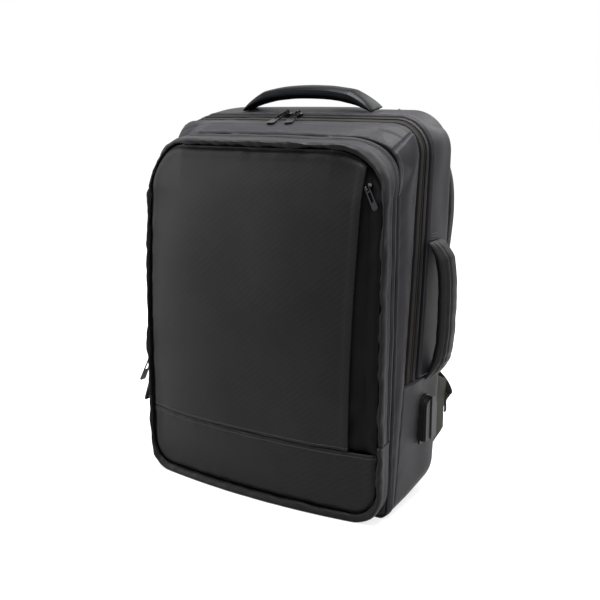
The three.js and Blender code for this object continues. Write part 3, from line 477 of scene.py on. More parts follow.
def stitches(name, path, normal, pitch=3.2, length=2.3, radius=0.3, lift=0.1, turned=False):
    """Run of thread stitches along a path on the cloth: closed spindles of three rings of five points
    between two tips, evenly spaced by arc length. Turned, they lie across the path."""
    run = run_of(path)
    count = max(int(run[-1] / pitch), 1)
    at = (np.arange(count) + 0.5) * run[-1] / count

    def sample(values, where):
        return np.stack([np.interp(where, run, values[:, k]) for k in range(3)], 1)

    ahead = sample(path, np.minimum(at + 0.5, run[-1])) - sample(path, np.maximum(at - 0.5, 0))
    ahead /= np.linalg.norm(ahead, axis=1, keepdims=True)
    up = sample(normal, at)
    up -= ahead * np.sum(up * ahead, axis=1, keepdims=True)
    up /= np.linalg.norm(up, axis=1, keepdims=True)
    side = np.cross(ahead, up)
    if turned:
        ahead, side = side, ahead
    middle = sample(path, at) + up * lift
    counts = [1, 5, 5, 5, 1]
    share = np.repeat([-0.5, -0.36, 0, 0.36, 0.5], counts)
    girth = np.repeat([0, 0.8, 1, 0.8, 0], counts) * radius
    angle = np.r_[0, np.tile(TAU * np.arange(5) / 5, 3), 0]
    points = (
        middle[:, None]
        + ahead[:, None] * (length * share)[:, None]
        + side[:, None] * (girth * np.cos(angle))[:, None]
        + up[:, None] * (girth * np.sin(angle))[:, None]
    )
    k = np.arange(5)
    n = (k + 1) % 5
    tips = np.concatenate([np.stack([0 * k, 1 + n, 1 + k], 1), np.stack([11 + k, 11 + n, 0 * k + 16], 1)])
    walls = np.concatenate([np.stack([r + k, r + n, r + 5 + n, r + 5 + k], 1) for r in (1, 6)])
    first = 17 * np.arange(count)[:, None, None]
    faces = (tips + first).reshape(-1, 3).tolist() + (walls + first).reshape(-1, 4).tolist()
    obj = make_mesh(name, points.reshape(-1, 3), faces)
    face_outwards(obj)
    finish_piece(obj, "thread")


# Materials


class Value:
    """Output of a shader node, with arithmetic."""

    def __init__(self, surface, socket):
        self.surface, self.socket = surface, socket

    def _math(self, operation, *values):
        return self.surface.node("ShaderNodeMath", dict(enumerate((self, *values))), operation=operation)

    def __add__(self, other):
        return self._math("ADD", other)

    def __radd__(self, other):
        return self._math("ADD", other)

    def __sub__(self, other):
        return self._math("SUBTRACT", other)

    def __rsub__(self, other):
        return self * -1 + other

    def __mul__(self, other):
        return self._math("MULTIPLY", other)

    def __rmul__(self, other):
        return self._math("MULTIPLY", other)

    def sin(self):
        return self._math("SINE")

    def abs(self):
        return self._math("ABSOLUTE")

    def smooth(self, low, high):
        """0 below low, 1 above high, smooth between them."""
        sockets = {"Value": self, "From Min": low, "From Max": high}
        return self.surface.node("ShaderNodeMapRange", sockets, interpolation_type="SMOOTHSTEP")


class Surface:
    """Material of one Principled shader, whose constants are set on its own sockets."""

    def __init__(self, name, colour, **constants):
        self.material = bpy.data.materials.new(name)
        self.material.use_nodes = True
        self.tree = self.material.node_tree
        self.shader = self.tree.nodes["Principled BSDF"]
        self.colour = colour
        self.shader.inputs["Base Color"].default_value = (*colour, 1)
        for key, value in constants.items():
            self.shader.inputs[key.replace("_", " ").title().replace("Ior", "IOR")].default_value = value

    def node(self, kind, sockets, out=0, **settings):
        """Node with its settings first, then each socket linked to a value or set to a constant."""
        made = self.tree.nodes.new(kind)
        for key, value in settings.items():
            setattr(made, key, value)
        for key, value in sockets.items():
            if isinstance(value, Value):
                self.tree.links.new(value.socket, made.inputs[key])
            else:
                made.inputs[key].default_value = value
        return Value(self, made.outputs[out])

    def split(self, where, *axes):
        """Coordinates of a place along some axes, in mm."""
        outputs = self.node("ShaderNodeSeparateXYZ", {0: where}).socket.node.outputs
        return [Value(self, outputs[k]) * 1000 for k in axes]

    def uv(self):
        """Lengths along and across the cloth, in mm."""
        return self.split(self.node("ShaderNodeUVMap", {}, uv_map="cloth"), 0, 1)

    def place(self):
        """Place in the piece's own coordinates, in metres."""
        return self.node("ShaderNodeTexCoord", {}, out="Object")

    def noise(self, where, scale, detail=2.0):
        """Noise from 0 to 1, whose waves are about one metre long over the scale."""
        sockets = {"Vector": where, "Scale": scale, "Detail": detail, "Roughness": 0.5}
        return self.node("ShaderNodeTexNoise", sockets)

    def colours(self, share, first, second):
        """Mixes two colours, of which either may be a value itself."""
        pair = {key: c if isinstance(c, Value) else (*c, 1) for key, c in ((6, first), (7, second))}
        return self.node("ShaderNodeMix", {0: share, **pair}, data_type="RGBA", out=2)

    def mottled(self, amount, scale, shade=0.0):
        """Colour that drifts a little darker and lighter, by noise and by a given shade."""
        drift = self.noise(self.place(), scale).smooth(0.3, 0.7)
        dark, light = (tuple(c * k for c in self.colour) for k in (1 - amount, 1 + amount))
        return self.paint(self.colours(drift + shade, dark, light))

    def paint(self, colour):
        """Makes a value the material's colour."""
        self.tree.links.new(colour.socket, self.shader.inputs["Base Color"])
        return colour

    def bump(self, height, strength, distance):
        """Bends the normal by a height, of which 1 stands for the distance in mm."""
        sockets = {"Height": height, "Strength": strength, "Distance": distance * MM}
        made = self.node("ShaderNodeBump", sockets)
        self.tree.links.new(made.socket, self.shader.inputs["Normal"])

    def twilled(self, u, v, pitch, strength):
        """Relief of diagonal ribs with finer threads across them."""
        ribs = ((u + v * 0.8) * (TAU / pitch)).sin()
        threads = ((u - v * 1.3) * (TAU / pitch * 0.9)).sin() * 0.4
        self.bump(ribs + threads + self.noise(self.place(), 700, 3) * 1.2, strength, 0.12)

    def woven(self, u, v, pitch, strength):
        """Relief of warp and weft, the product of two waves at right angles."""
        warp, weft = ((side * (TAU / pitch)).sin() for side in (u, v))
        self.bump(warp * weft + self.noise(self.place(), 900, 3) * 1.5, strength, 0.12)


def twill(name, colour, pitch, strength, **constants):
    """Cloth with fine diagonal ribs."""
    made = Surface(name, colour, **constants)
    made.twilled(*made.uv(), pitch, strength)
    made.mottled(0.12, 35)
    return made.material


def moire(name, colour, pitch, strength, **constants):
    """Twill that shimmers in broad diagonal waves, which a noise bends."""
    made = Surface(name, colour, **constants)
    u, v = made.uv()
    made.twilled(u, v, pitch, strength)
    drift = made.noise(made.place(), 6, 2) * 26
    waves = ((u * 0.62 - v * 0.78 + drift) * (TAU / 5.6)).sin()
    made.mottled(0.18, 24, waves * 0.5)
    return made.material


def weave(name, colour, pitch, strength, **constants):
    """Plain-woven cloth."""
    made = Surface(name, colour, **constants)
    made.woven(*made.uv(), pitch, strength)
    made.mottled(0.1, 30)
    return made.material


def rolled_cloth_painted_shade(name, colour, pitch, strength, **constants):
    """The pocket's cloth, with painted shade: black in the gathered gutter before its ridge, where the map
    across starts, standing in for the shadow that falls there.
    """
    made = Surface(name, colour, **constants)
    u, v = made.uv()
    made.woven(u, v, pitch, strength)
    # Painted shade: past the ridge the colour turns near-black, with a wavy noisy edge, for the shadow in the
    # gutter.
    gutter = (v + made.noise(made.place(), 45, 2) * 6).smooth(*GUTTER_SHADE_EDGE)
    made.paint(made.colours(gutter, made.mottled(0.1, 30), GUTTER_PAINTED_SHADE))
    return made.material


def ribbed(name, colour, pitch, strength, **constants):
    """Woven tape with ribs along its length."""
    made = Surface(name, colour, **constants)
    u, v = made.uv()
    ribs = (v * (TAU / pitch)).sin()
    threads = (u * (TAU / pitch * 0.6) + ribs * 0.8).sin() * 0.5
    made.bump(ribs + threads, strength, 0.15)
    made.mottled(0.12, 60)
    return made.material


def grained(name, colour, scale, strength, **constants):
    """Coated cloth or leather with a fine pebbled grain."""
    made = Surface(name, colour, **constants)
    cells = made.node("ShaderNodeTexVoronoi", {"Vector": made.place(), "Scale": scale})
    fine = made.noise(made.place(), scale * 1.7, 3)
    made.bump(cells + fine * 0.5, strength, 0.2)
    made.mottled(0.1, 40)
    return made.material


def spacer_mesh(name, colour, **constants):
    """Air mesh: rows of small holes, the product of two waves along X and Z, with painted shade darkening the
    inside of the holes.
    """
    made = Surface(name, colour, **constants)
    x, z = ((at * (TAU / 3.4)).sin() for at in made.split(made.place(), 0, 2))
    holes = (x * z).abs().smooth(0.15, 0.75)
    made.bump(holes, strength=0.7, distance=0.6)
    # Painted shade: the holes take 0.45 of the colour, for the shade that falls inside them.
    made.paint(made.colours(holes, made.mottled(0.15, 60), tuple(c * 0.45 for c in colour)))
    return made.material


def striped_tape_painted_shade(name, colour, **constants):
    """Tape of the main zip, whose map across runs from 0 to 100: black lines, with brown grey between. The
    first line is painted shade under the front gusset's edge, the second painted shade in the slit behind the
    guard, the third the coil's own black with painted shade in its gap.
    """
    made = Surface(name, colour, **constants)
    u, v = made.uv()
    ribs = (v * (TAU / 4)).sin()
    made.bump(ribs + (u * (TAU / 2) + ribs).sin() * 0.5, 0.3, 0.15)
    # Painted shade: the first two black lines stand in for the shadow under the front gusset's edge and in
    # the slit behind the guard; the last is the coil's black with the shade of its gap.
    lines = 1 - v.smooth(22, 27) + v.smooth(43, 46) * (1 - v.smooth(53, 56)) + v.smooth(66, 69)
    made.paint(made.colours(lines, made.mottled(0.12, 60), TAPE_SHADE_AND_COIL_BLACK))
    return made.material


def hard(name, colour, **constants):
    """Metal or moulded plastic, handled a little."""
    made = Surface(name, colour, **constants)
    made.mottled(0.08, 60)
    return made.material


def finish(roughness, gloss):
    """Roughness and specular level of a look."""
    return {"roughness": roughness, "specular_ior_level": gloss}


# Painted shade and coil: the second colour is the near-black of the main zip tape's lines, shade under the
# front gusset's edge and in the slit, and the coil's own black.
# Painted shade: the first colour is the near-black that stands in for the shadow in the pocket's gutter.
GUTTER_PAINTED_SHADE, TAPE_SHADE_AND_COIL_BLACK = (0.0015, 0.0015, 0.0016), (0.0016, 0.0016, 0.0017)
# Lengths past the ridge in mm, with noise added, over which the cloth's colour turns into the painted gutter
# shade.
GUTTER_SHADE_EDGE = (3.4, 7.6)
CLOTH = {**finish(0.5, 0.1), "sheen_weight": 0.02, "sheen_roughness": 0.4}
MATERIALS = {
    "shell": weave("shell_cloth", (0.0078, 0.0074, 0.0092), 1.1, 0.3, **CLOTH),
    "roll": rolled_cloth_painted_shade("rolled_cloth_painted_shade", (0.0076, 0.0072, 0.009), 1.1, 0.3, **CLOTH),
    "panel": moire("panel_twill", (0.004, 0.004, 0.0042), 1.3, 0.35, **finish(0.48, 0.09)),
    "strip": twill("strip_twill", (0.002, 0.002, 0.0021), 1.3, 0.3, **finish(0.6, 0.05)),
    "padding": spacer_mesh("air_mesh", (0.015, 0.015, 0.0135), **finish(0.85, 0.1)),
    "tape": ribbed("zip_tape", (0.008, 0.0075, 0.0075), 1.2, 0.3, **finish(0.8, 0.2)),
    "stripes": striped_tape_painted_shade("striped_tape_painted_shade", (0.0125, 0.011, 0.0105), **finish(0.8, 0.05)),
    "coil": hard("zip_coil", (0.0012, 0.0012, 0.0013), **finish(0.5, 0.15)),
    "webbing": ribbed("ribbed_webbing", (0.012, 0.012, 0.009), 2.2, 0.6, **finish(0.75, 0.2)),
    "handle": grained("handle_leather", (0.0011, 0.0014, 0.002), 900, 0.2, **finish(0.36, 0.06)),
    "grip": ribbed("grip_cloth", (0.0042, 0.0042, 0.0045), 2.4, 0.4, **finish(0.5, 0.1)),
    "binding": ribbed("edge_binding", (0.008, 0.008, 0.0085), 1.5, 0.5, roughness=0.7),
    "thread": hard("thread", (0.018, 0.018, 0.02), roughness=0.6),
    "metal": hard("dark_nickel", (0.035, 0.035, 0.038), roughness=0.22, metallic=1.0),
    "plastic": hard("black_plastic", (0.003, 0.003, 0.0033), **finish(0.42, 0.2)),
    "gloss": hard("grey_gloss", (0.016, 0.016, 0.017), **finish(0.5, 0.25)),
}


# Bands of the main compartment


def row_of(place, start, end, rows):
    """Index of the grid row nearest to a place between two seams."""
    return int(round((place - start) / (end - start) * (rows - 1)))


CORNER_TOP_RIGHT = STEPS["side"] + STEPS["top"] // 2
CORNER_TOP_LEFT = STEPS["side"] + STEPS["top"] + STEPS["level"] + STEPS["top"] // 2
CORNER_FOOT_LEFT = 2 * STEPS["side"] + 2 * STEPS["top"] + STEPS["level"] + STEPS["foot"] // 2
CORNER_FOOT_RIGHT = CORNER_FOOT_LEFT + STEPS["foot"] + STEPS["level"]
CORNERS = (CORNER_TOP_RIGHT, CORNER_TOP_LEFT, CORNER_FOOT_LEFT, CORNER_FOOT_RIGHT)
MITRE_FOLD, MITRE_REACH = 2.4, 24


def mitres(along):
    """Seams that cross a band at its corners: a furrow on the crest of a low fold."""
    total = 0
    for column in CORNERS:
        away = along - along[:, column : column + 1]
        fold = MITRE_FOLD * np.maximum(0, 1 - np.abs(away) / MITRE_REACH)
        total = total + fold + welts(away, (0, -1.6, 0.9))
    return total


def front_gusset():
    """Band from the rim to the zip, with mitred corners and one long fold along its top."""

    def relief(along, across, grid):
        width, z = across[-1:], grid[..., 2]
        height = welts(across, (0, -1.5, 1.3), (3.6, 0.5, 1.4))
        height += welts(width - across, (0, -1.3, 1.1), (5, -0.35, 0.6)) + mitres(along)
        height += puckers(11, along, across, 0.5, 26, 8) + puckers(12, along, width - across, 0.35, 20, 6)
        height += 0.7 * noise(13, along, across, 90, stretch=0.6) * np.sin(np.pi * across / width)
        fold = smoothstep(400, 412, z) * welts(across - 0.52 * width, (0, -0.7, 1.6))
        return (height + fold) * smoothstep(0, 60, z)

    grid = body_grid(RIM, ZIP_FRONT, 27, crown=BAND_CROWN)
    return band("cloth_front_gusset", grid, relief, "shell", "front_gusset", closed=True)


def zip_tape():
    """Tape of the main zip: a raised guard before the coil, and a raised edge behind it."""

    def relief(along, across, grid):
        share = across / across[-1:]
        guard = smoothstep(0.14, 0.18, share) * (1 - smoothstep(0.44, 0.49, share))
        height = 0.9 * guard + 0.8 * smoothstep(0.86, 0.9, share) + welts(share, (0.5, -0.9, 0.04))
        return height + 0.15 * noise(21, along, across, 40)

    grid = body_grid(ZIP_FRONT, ZIP_REAR, 25, recess=2.0, part="upper", cut=BASE_SEAM + SEAM_GAP)
    percent = lambda across: across / across[-1:] * 100
    band("zip_tape_main", grid, relief, "stripes", "main_zip_tape", thickness=TAPE, across_map=percent)


FINE = {"side": 760, "top": 170, "level": 500, "foot": 40}


def coil(name, make, start, end, recess, cut, pitch, rows, *nodes):
    """Zip coil: two rows of rounded teeth, half a pitch apart, that meet in a furrow along the middle."""

    def relief(along, across, grid):
        share = across / across[-1:] * 2 - 1
        tooth = np.sin(TAU * (along / pitch + 0.25 * np.sign(share)))
        hump = np.maximum(0, 1 - share**2)
        return 0.32 * tooth * hump - 0.5 * (1 - hump) + welts(share, (0, -0.35, 0.12))

    grid = make(start, end, rows, recess=recess, part="upper", cut=cut + COIL_GAP, steps=FINE)
    band(name, grid, relief, "coil", *nodes, thickness=1.0)


REAR_ROWS, DROOP = 31, 6


def rear_gusset():
    """Padded band from the zip to the back. Its top right corner droops by up to 6 mm."""

    def relief(along, across, grid):
        x, z = grid[..., 0], grid[..., 2]
        width, from_cut = across[-1:], z - BASE_SEAM
        crest = across[row_of(CREST, ZIP_REAR, REAR_EDGE, REAR_ROWS)][None]
        height = welts(across, (0, -1.1, 1.0), (5.5, -0.4, 0.6)) + puckers(31, along, across, 0.3, 22, 7)
        height += welts(width - across, (0, -1.2, 1.2)) + welts(from_cut, (0, -1.0, 1.1))
        height += puckers(32, across, from_cut, 0.35, 18, 8)
        corner = smoothstep(30, 105, x) * (1 - smoothstep(140, 160, x)) * smoothstep(385, 425, z)
        behind = 1 - smoothstep(0.6, 1, (across - crest) / (width - crest))
        height -= DROOP * corner * smoothstep(0, 0.8, across / crest) * behind
        swell = np.sin(np.pi * np.clip(across / crest, 0, 1))
        return height + (0.8 + 0.9 * noise(33, along, across, 110, stretch=0.7)) * swell

    grid = body_grid(ZIP_REAR, REAR_EDGE, REAR_ROWS, part="upper", cut=BASE_SEAM + SEAM_GAP)
    return band("cloth_rear_gusset", eased_rows(grid, 5), relief, "shell", "rear_gusset")


def base_gusset():
    """Base and lower sides below the cross seam, flat where they touch the floor."""

    def relief(along, across, grid):
        width, from_cut = across[-1:], BASE_SEAM - grid[..., 2]
        height = welts(across, (0, -1.2, 1.1)) + welts(width - across, (0, -1.2, 1.2))
        height += welts(from_cut, (0, -1.2, 1.1), (3, 0.4, 1.3))
        height += puckers(41, along, across, 0.4, 24, 8) + puckers(42, across, from_cut, 0.45, 20, 9)
        swell = 0.9 * noise(43, along, across, 80) * np.sin(np.pi * across / width)
        return (height + swell) * smoothstep(0, 30, grid[..., 2])

    grid = body_grid(ZIP_FRONT, REAR_EDGE, 45, part="lower", cut=BASE_SEAM - SEAM_GAP)
    return band("cloth_base_gusset", eased_rows(grid, 4), relief, "shell", "base_gusset")


# Bands of the pocket


def pocket_rear_band():
    """Narrow band between the front gusset and the pocket's zip."""

    def relief(along, across, grid):
        edges = welts(across, (0, -1.0, 1.1)) + welts(across[-1:] - across, (0, -0.8, 0.9))
        return edges + 0.3 * noise(51, along, across, 50)

    grid = pocket_grid(SEAM, POCKET_ZIP_REAR, 8, part="upper", cut=POCKET_BASE_SEAM + SEAM_GAP)
    band("cloth_pocket_rear_band", grid, relief, "shell", "pocket_rear_band")


def pocket_tape():
    """Plain tape of the pocket's zip."""
    cut = {"part": "upper", "cut": POCKET_BASE_SEAM + SEAM_GAP}
    grid = pocket_grid(POCKET_ZIP_REAR, POCKET_ZIP_FRONT, 8, recess=1.0, **cut)
    relief = lambda along, across, grid: 0.1 * noise(52, along, across, 40)
    band("zip_tape_pocket", grid, relief, "tape", "pocket_zip_tape", thickness=TAPE)


def from_crest(across, rows, start):
    """Length across the pocket's band, from its ridge on."""
    return across - across[row_of(RIDGE, start, GUTTER, rows)][None]


def rolled_band(name, node, start, rows, complete, **cut):
    """Band that ends in the pocket's front edge: a soft ridge, double lines behind it, a gathered gutter
    before it. The function complete makes the whole relief of this one."""

    def relief(along, across, grid):
        ahead = from_crest(across, rows, start)
        lip = across[row_of(LIP, start, GUTTER, rows)][None]
        height = welts(ahead, (0, 0.3, 3.5), (-5, -0.45, 0.7), (-8, -0.35, 0.7))
        height += welts(across - lip, (0, -1.0, 1.6)) + welts(across[-1:] - across, (0, -1.4, 1.4))
        gathers = noise(61, along, across, 30, stretch=3) + 0.6 * noise(62, along, across, 14, stretch=3)
        height += 0.8 * gathers * smoothstep(0, 6, ahead) + welts(across, (0, -0.9, 1.0))
        height += 0.35 * noise(63, along, across, 60) + 0.3 * noise(64, along, across, 22) * bell(ahead, 6)
        return complete(height, across, grid)

    grid = eased_rows(pocket_grid(start, GUTTER, rows, **cut), 5)
    mapped = lambda across: from_crest(across, rows, start)
    outward = radial(grid) + BODY_DEPTH * FRONTWARDS
    return band(name, grid, relief, "roll", node, outward=outward, across_map=mapped)


def pocket_gusset():
    """Sides and top of the pocket, with a small dent in its left side."""

    def complete(height, across, grid):
        dent = bell(grid[..., 2] - 352, 5) * (grid[..., 0] < 0) * smoothstep(0, 8, across)
        return height + welts(grid[..., 2] - POCKET_BASE_SEAM, (0, -0.8, 1.0)) - 1.4 * dent

    cut = {"part": "upper", "cut": POCKET_BASE_SEAM + SEAM_GAP}
    rolled_band("cloth_pocket_gusset", "pocket_gusset", POCKET_ZIP_FRONT, 37, complete, **cut)


def pocket_base():
    """Base of the pocket with the foot of its sides."""

    def complete(height, across, grid):
        height = height + welts(POCKET_BASE_SEAM - grid[..., 2], (0, -0.9, 1.0), (2.5, 0.3, 1.0))
        return height * smoothstep(-2, 16, grid[..., 2])

    cut = {"part": "lower", "cut": POCKET_BASE_SEAM - SEAM_GAP}
    return rolled_band("cloth_pocket_base", "pocket_base", SEAM, 43, complete, **cut)


# Front panels


def panel_depth(x, z):
    """Face of the front panel: the pocket's gutter, swollen towards the middle."""
    row = POCKET[GUTTER]
    half = BODY_WIDTH / 2 * row["half"]
    middle = BODY_HEIGHT * (row["low"] + row["high"]) / 2
    reach = BODY_HEIGHT * (row["high"] - row["low"]) / 2
    across = np.maximum(0, 1 - np.abs(x / half) ** 3)
    up = np.maximum(0, 1 - ((z - middle) / reach) ** 2)
    return pocket_depth_at(row, x, z) - PANEL_CROWN * across * up


def strip_sink(x):
    """Share of the strip's recess: full at the flap, none at the gutter."""
    half = BODY_WIDTH / 2 * POCKET[GUTTER]["half"]
    return np.clip((half - x) / (half - FLAP_EDGE) * 1.6, 0, 1)


def flap_side(z):
    """Where the large flap ends along X."""
    return FLAP_EDGE + (z - FLAP_MIDDLE) * FLAP_LEAN


def panel_sides():
    """Heights of the gutter's outline with its left and right edge, from the base up."""
    row = POCKET[GUTTER]
    x, z = outline(row, POCKET_CORNERS, CLEAR)
    x = leaned(row, x, z)
    side, top, level, foot = (STEPS[k] for k in ("side", "top", "level", "foot"))
    right = np.r_[len(x) - foot : len(x), 0 : side + top + 1]
    left = np.r_[side + top + level : 2 * side + 2 * top + level + foot + 1]
    heights = z[right]
    order = np.argsort(z[left])
    return heights, np.interp(heights, z[left][order], x[left][order]), x[right]


def panel_grid(low, high, cols, left=-FAR, right=FAR, sink=0.0):
    """Grid of the front panel between two heights, and between a left and a right limit, each one number or
    one for each height."""
    heights, x_left, x_right = panel_sides()
    z = heights[(heights > low) & (heights < high)]
    z = np.r_[[low] if low > heights[0] else [], z, [high] if high < heights[-1] else []]
    left, right = (side(z) if callable(side) else side for side in (left, right))
    start = np.maximum(np.interp(z, heights, x_left), left)
    end = np.minimum(np.interp(z, heights, x_right), right)
    keep = end - start > 0.5
    x = start[keep, None] + (end - start)[keep, None] * np.linspace(0, 1, cols)
    z = np.broadcast_to(z[keep, None], x.shape)
    return np.stack([x, panel_depth(x, z) + sink * strip_sink(x), z], 2)


def edge_distance(x, z):
    """How far a point lies inside the gutter's rounded outline: the radius of the nearest corner, less the
    distance from that corner's centre."""
    row = POCKET[GUTTER]
    low, high = BODY_HEIGHT * row["low"], BODY_HEIGHT * row["high"]
    top = POCKET_CORNERS["top"] * row["top"] * np.where(x < 0, row["left"], 1)
    radius = np.where(z > (low + high) / 2, top, POCKET_CORNERS["base"] * row["base"])
    dx = np.abs(2 * x - leaned(row, x, z)) - BODY_WIDTH / 2 * row["half"] + radius
    dz = np.abs(z - (low + high) / 2) - (high - low) / 2 + radius
    outside = np.hypot(np.maximum(dx, 0), np.maximum(dz, 0))
    return radius - outside - np.minimum(np.maximum(dx, dz), 0)


def panel_relief(grid, seed):
    """Relief that the upper and lower panel share: they dip into the gutter and gather a little there."""
    x, z = grid[..., 0], grid[..., 2]
    edge = edge_distance(x, z)
    height = -2.2 * (1 - smoothstep(0, 5, edge)) + welts(edge, (8, 0.5, 4))
    turn = np.arctan2(z - 200, x) * 220
    height += 0.45 * noise(seed, turn, edge, 30, stretch=4) * np.exp(-np.abs(edge - 3) / 7)
    return height + 0.9 * noise(seed + 1, x, z, 170, stretch=1.6) * smoothstep(0, 40, edge)


def front_flap():
    """Large flap, whose right edge has a turned hem and lies free."""

    def relief(along, across, grid):
        x, z = grid[..., 0], grid[..., 2]
        hem, seam = flap_side(z) - x, z - PANEL_SEAM
        height = panel_relief(grid, 71) + 0.9 * (1 - smoothstep(6.5, 9, hem))
        height += welts(hem, (5, -0.3, 0.6), (0, -0.9, 1.2)) + welts(seam, (0, -1.3, 1.0), (2.6, 0.2, 1.4))
        height += 0.35 * noise(73, z, hem, 60) * np.exp(-hem / 14)
        return height + puckers(74, x, seam, 0.35, 24, 7)

    grid = panel_grid(PANEL_SEAM + SEAM_GAP, FAR, 135, right=flap_side)
    return band("cloth_front_flap", grid, relief, "panel", "front_flap", outward=FRONTWARDS)


def front_lower_panel():
    """Panel below the cross seam, with a raised welt along the seam."""

    def relief(along, across, grid):
        seam = PANEL_SEAM - grid[..., 2]
        height = panel_relief(grid, 75) + welts(seam, (0, -1.3, 1.0), (2, 0.4, 1.0), (4.4, -0.6, 0.6))
        return height + puckers(76, grid[..., 0], seam, 0.4, 26, 8)

    grid = panel_grid(-FAR, PANEL_SEAM - SEAM_GAP, 150)
    return band("cloth_front_lower_panel", grid, relief, "panel", "front_lower_panel", outward=FRONTWARDS)


def front_side_strip():
    """Recessed strip right of the flap. Below it wrinkles more."""

    def relief(along, across, grid):
        x, z = grid[..., 0], grid[..., 2]
        edge = edge_distance(x, z)
        wrinkled = 0.5 + 0.9 * (1 - smoothstep(120, 210, z))
        height = -1.6 * (1 - smoothstep(0, 4, edge)) + welts(z - PANEL_SEAM, (0, -1.0, 1.2))
        height += wrinkled * noise(81, z, x, 46, stretch=0.5) * smoothstep(0, 8, edge)
        return height + 0.5 * noise(82, z, x, 140)

    under = lambda z: flap_side(z) - FLAP_OVERLAP
    grid = panel_grid(PANEL_SEAM + SEAM_GAP, FAR, 22, left=under, sink=STRIP_RECESS)
    band("cloth_front_side_strip", grid, relief, "strip", "front_side_strip", outward=FRONTWARDS)


# Inner wall and back

PLATE_STEPS = {"side": 70, "top": 16, "level": 50, "foot": 10}


def plate(name, place, look, node, ahead, thickness, rings, outward, relief=None):
    """Plate that fills an outline of the main compartment with a little play, as rings that shrink towards
    its middle. Outward is 1 for the back and -1 for the front."""
    row = BODY[place]
    x, z = outline(row, BODY_CORNERS, WALL + CLEAR, steps=PLATE_STEPS)
    share = np.array(rings)[:, None]
    gx, gz = x * share, mix((z.min() + z.max()) / 2, z, share)
    depth = depth_at(row, gx, gz) + ahead
    raised = 0 if relief is None else relief(gx, gz, share)
    face = np.stack([gx, depth + outward * raised, gz], 2)
    back = np.stack([gx, depth - outward * thickness, gz], 2)
    obj = capped(name, np.concatenate([face[::-1], back]), flat=True)
    finish_piece(obj, look, node)
    return obj


def front_wall():
    """Plain wall between the main compartment and the pocket."""
    rings = [1, 0.98, 0.9, 0.7, 0.4, 0.1]
    plate("cloth_front_wall", RIM, "shell", "front_wall", CLEAR, WALL, rings, -1)


CHANNELS = (22, 150, 285, 418)


def sewn_back(points):
    """Share of the back panel that is sewn down: its rim, its inner face, the channels and the spine."""
    x, y, z = points.T
    lines = sum(bell(z - at, 6) for at in CHANNELS) + bell(x, 9)
    rim = 1 - smoothstep(6, 16, BODY_WIDTH / 2 * BODY[REAR_EDGE]["half"] - np.abs(x))
    inside = y < depth_at(BODY[REAR_EDGE], 0, z) + 0.6
    return lines + rim + inside


def back_panel():
    """Padded back: two columns of foam in three cushions each, with stitched channels between them."""

    def relief(x, z, share):
        column = np.sin(np.pi * np.minimum(1, np.abs(x) / (BODY_WIDTH / 2))) ** 0.7
        rim = 1 - smoothstep(0.93, 1.0, np.broadcast_to(share, x.shape))
        furrows = sum(bell(z - at, 7) for at in CHANNELS) + bell(x, 12)
        return BACK_PAD_RISE * (0.35 + 0.6 * column) * rim * (1 - 0.95 * np.clip(furrows, 0, 1))

    rings = list(1 - np.linspace(0, 1, 48) * 0.98)
    obj = plate("pad_back_panel", REAR_EDGE, "padding", "back_panel", 0, BACK_WALL, rings, 1, relief)
    inflated(obj, 2.2, sewn_back)
    for i, at in enumerate(CHANNELS[1:3]):
        x = np.linspace(-128, 128, 80)
        path = np.stack([x, depth_at(BODY[REAR_EDGE], x, at) + 1.0, np.full_like(x, at)], 1)
        stitches(f"stitches_back_{i}", path, np.tile(-FRONTWARDS, (80, 1)), lift=0.3)


# Handles

TOP_HANDLE = {"span": 177, "shift": -9, "place": 0.42, "rise": 29, "thickness": 15, "width": 27}
TOP_HANDLE.update(fall=(2.4, 2.4), power=0.8, stations=121, steps=64)
SIDE_HANDLE = {"top": 297, "foot": 143, "middle": 34, "rise": 25, "thickness": 15, "width": 34}
SIDE_HANDLE.update(fall=(2.6, 3.4), power=0.9, stations=131, steps=72)


def top_point(place, x):
    """Point of the skin on the flat of the top."""
    row = row_at(BODY, place)
    high = BODY_HEIGHT * row["high"]
    bx, bz = belly(np.float64(x), high, BODY_WIDTH / 2 * row["half"], BODY_HEIGHT * row["low"], high)
    return np.array([bx, depth_at(row, bx, bz), bz])


def side_point(y, z):
    """Point of the skin on the flat of the right side, behind the main zip."""
    low, high = depth_at(BODY[ZIP_REAR], 0, z), depth_at(BODY[CREST], 0, z)
    row = row_at(BODY, mix(ZIP_REAR, CREST, (y - low) / (high - low)))
    half = BODY_WIDTH / 2 * row["half"]
    x, _ = belly(half, z, half, BODY_HEIGHT * row["low"], BODY_HEIGHT * row["high"])
    return np.array([x, y, z])


def top_seat(share):
    """Point of the top's skin under the handle, with the directions across the handle and out."""
    x = TOP_HANDLE["shift"] + TOP_HANDLE["span"] / 2 * share
    slope = top_point(CREST, x) - top_point(ZIP_REAR, x)
    slope /= np.linalg.norm(slope)
    out = np.cross([1, 0, 0], slope)
    point = top_point(mix(ZIP_REAR, CREST, TOP_HANDLE["place"]), x)
    return point, slope, out / np.linalg.norm(out)


def side_seat(share):
    """Point of the right side's skin under the handle, with the directions across the handle and out."""
    t = SIDE_HANDLE
    point = side_point(t["middle"] - t["width"] / 2, mix(t["foot"], t["top"], (1 + share) / 2))
    point[1] = t["middle"]
    return point, np.array([0.0, 1, 0]), np.array([1.0, 0, 0])


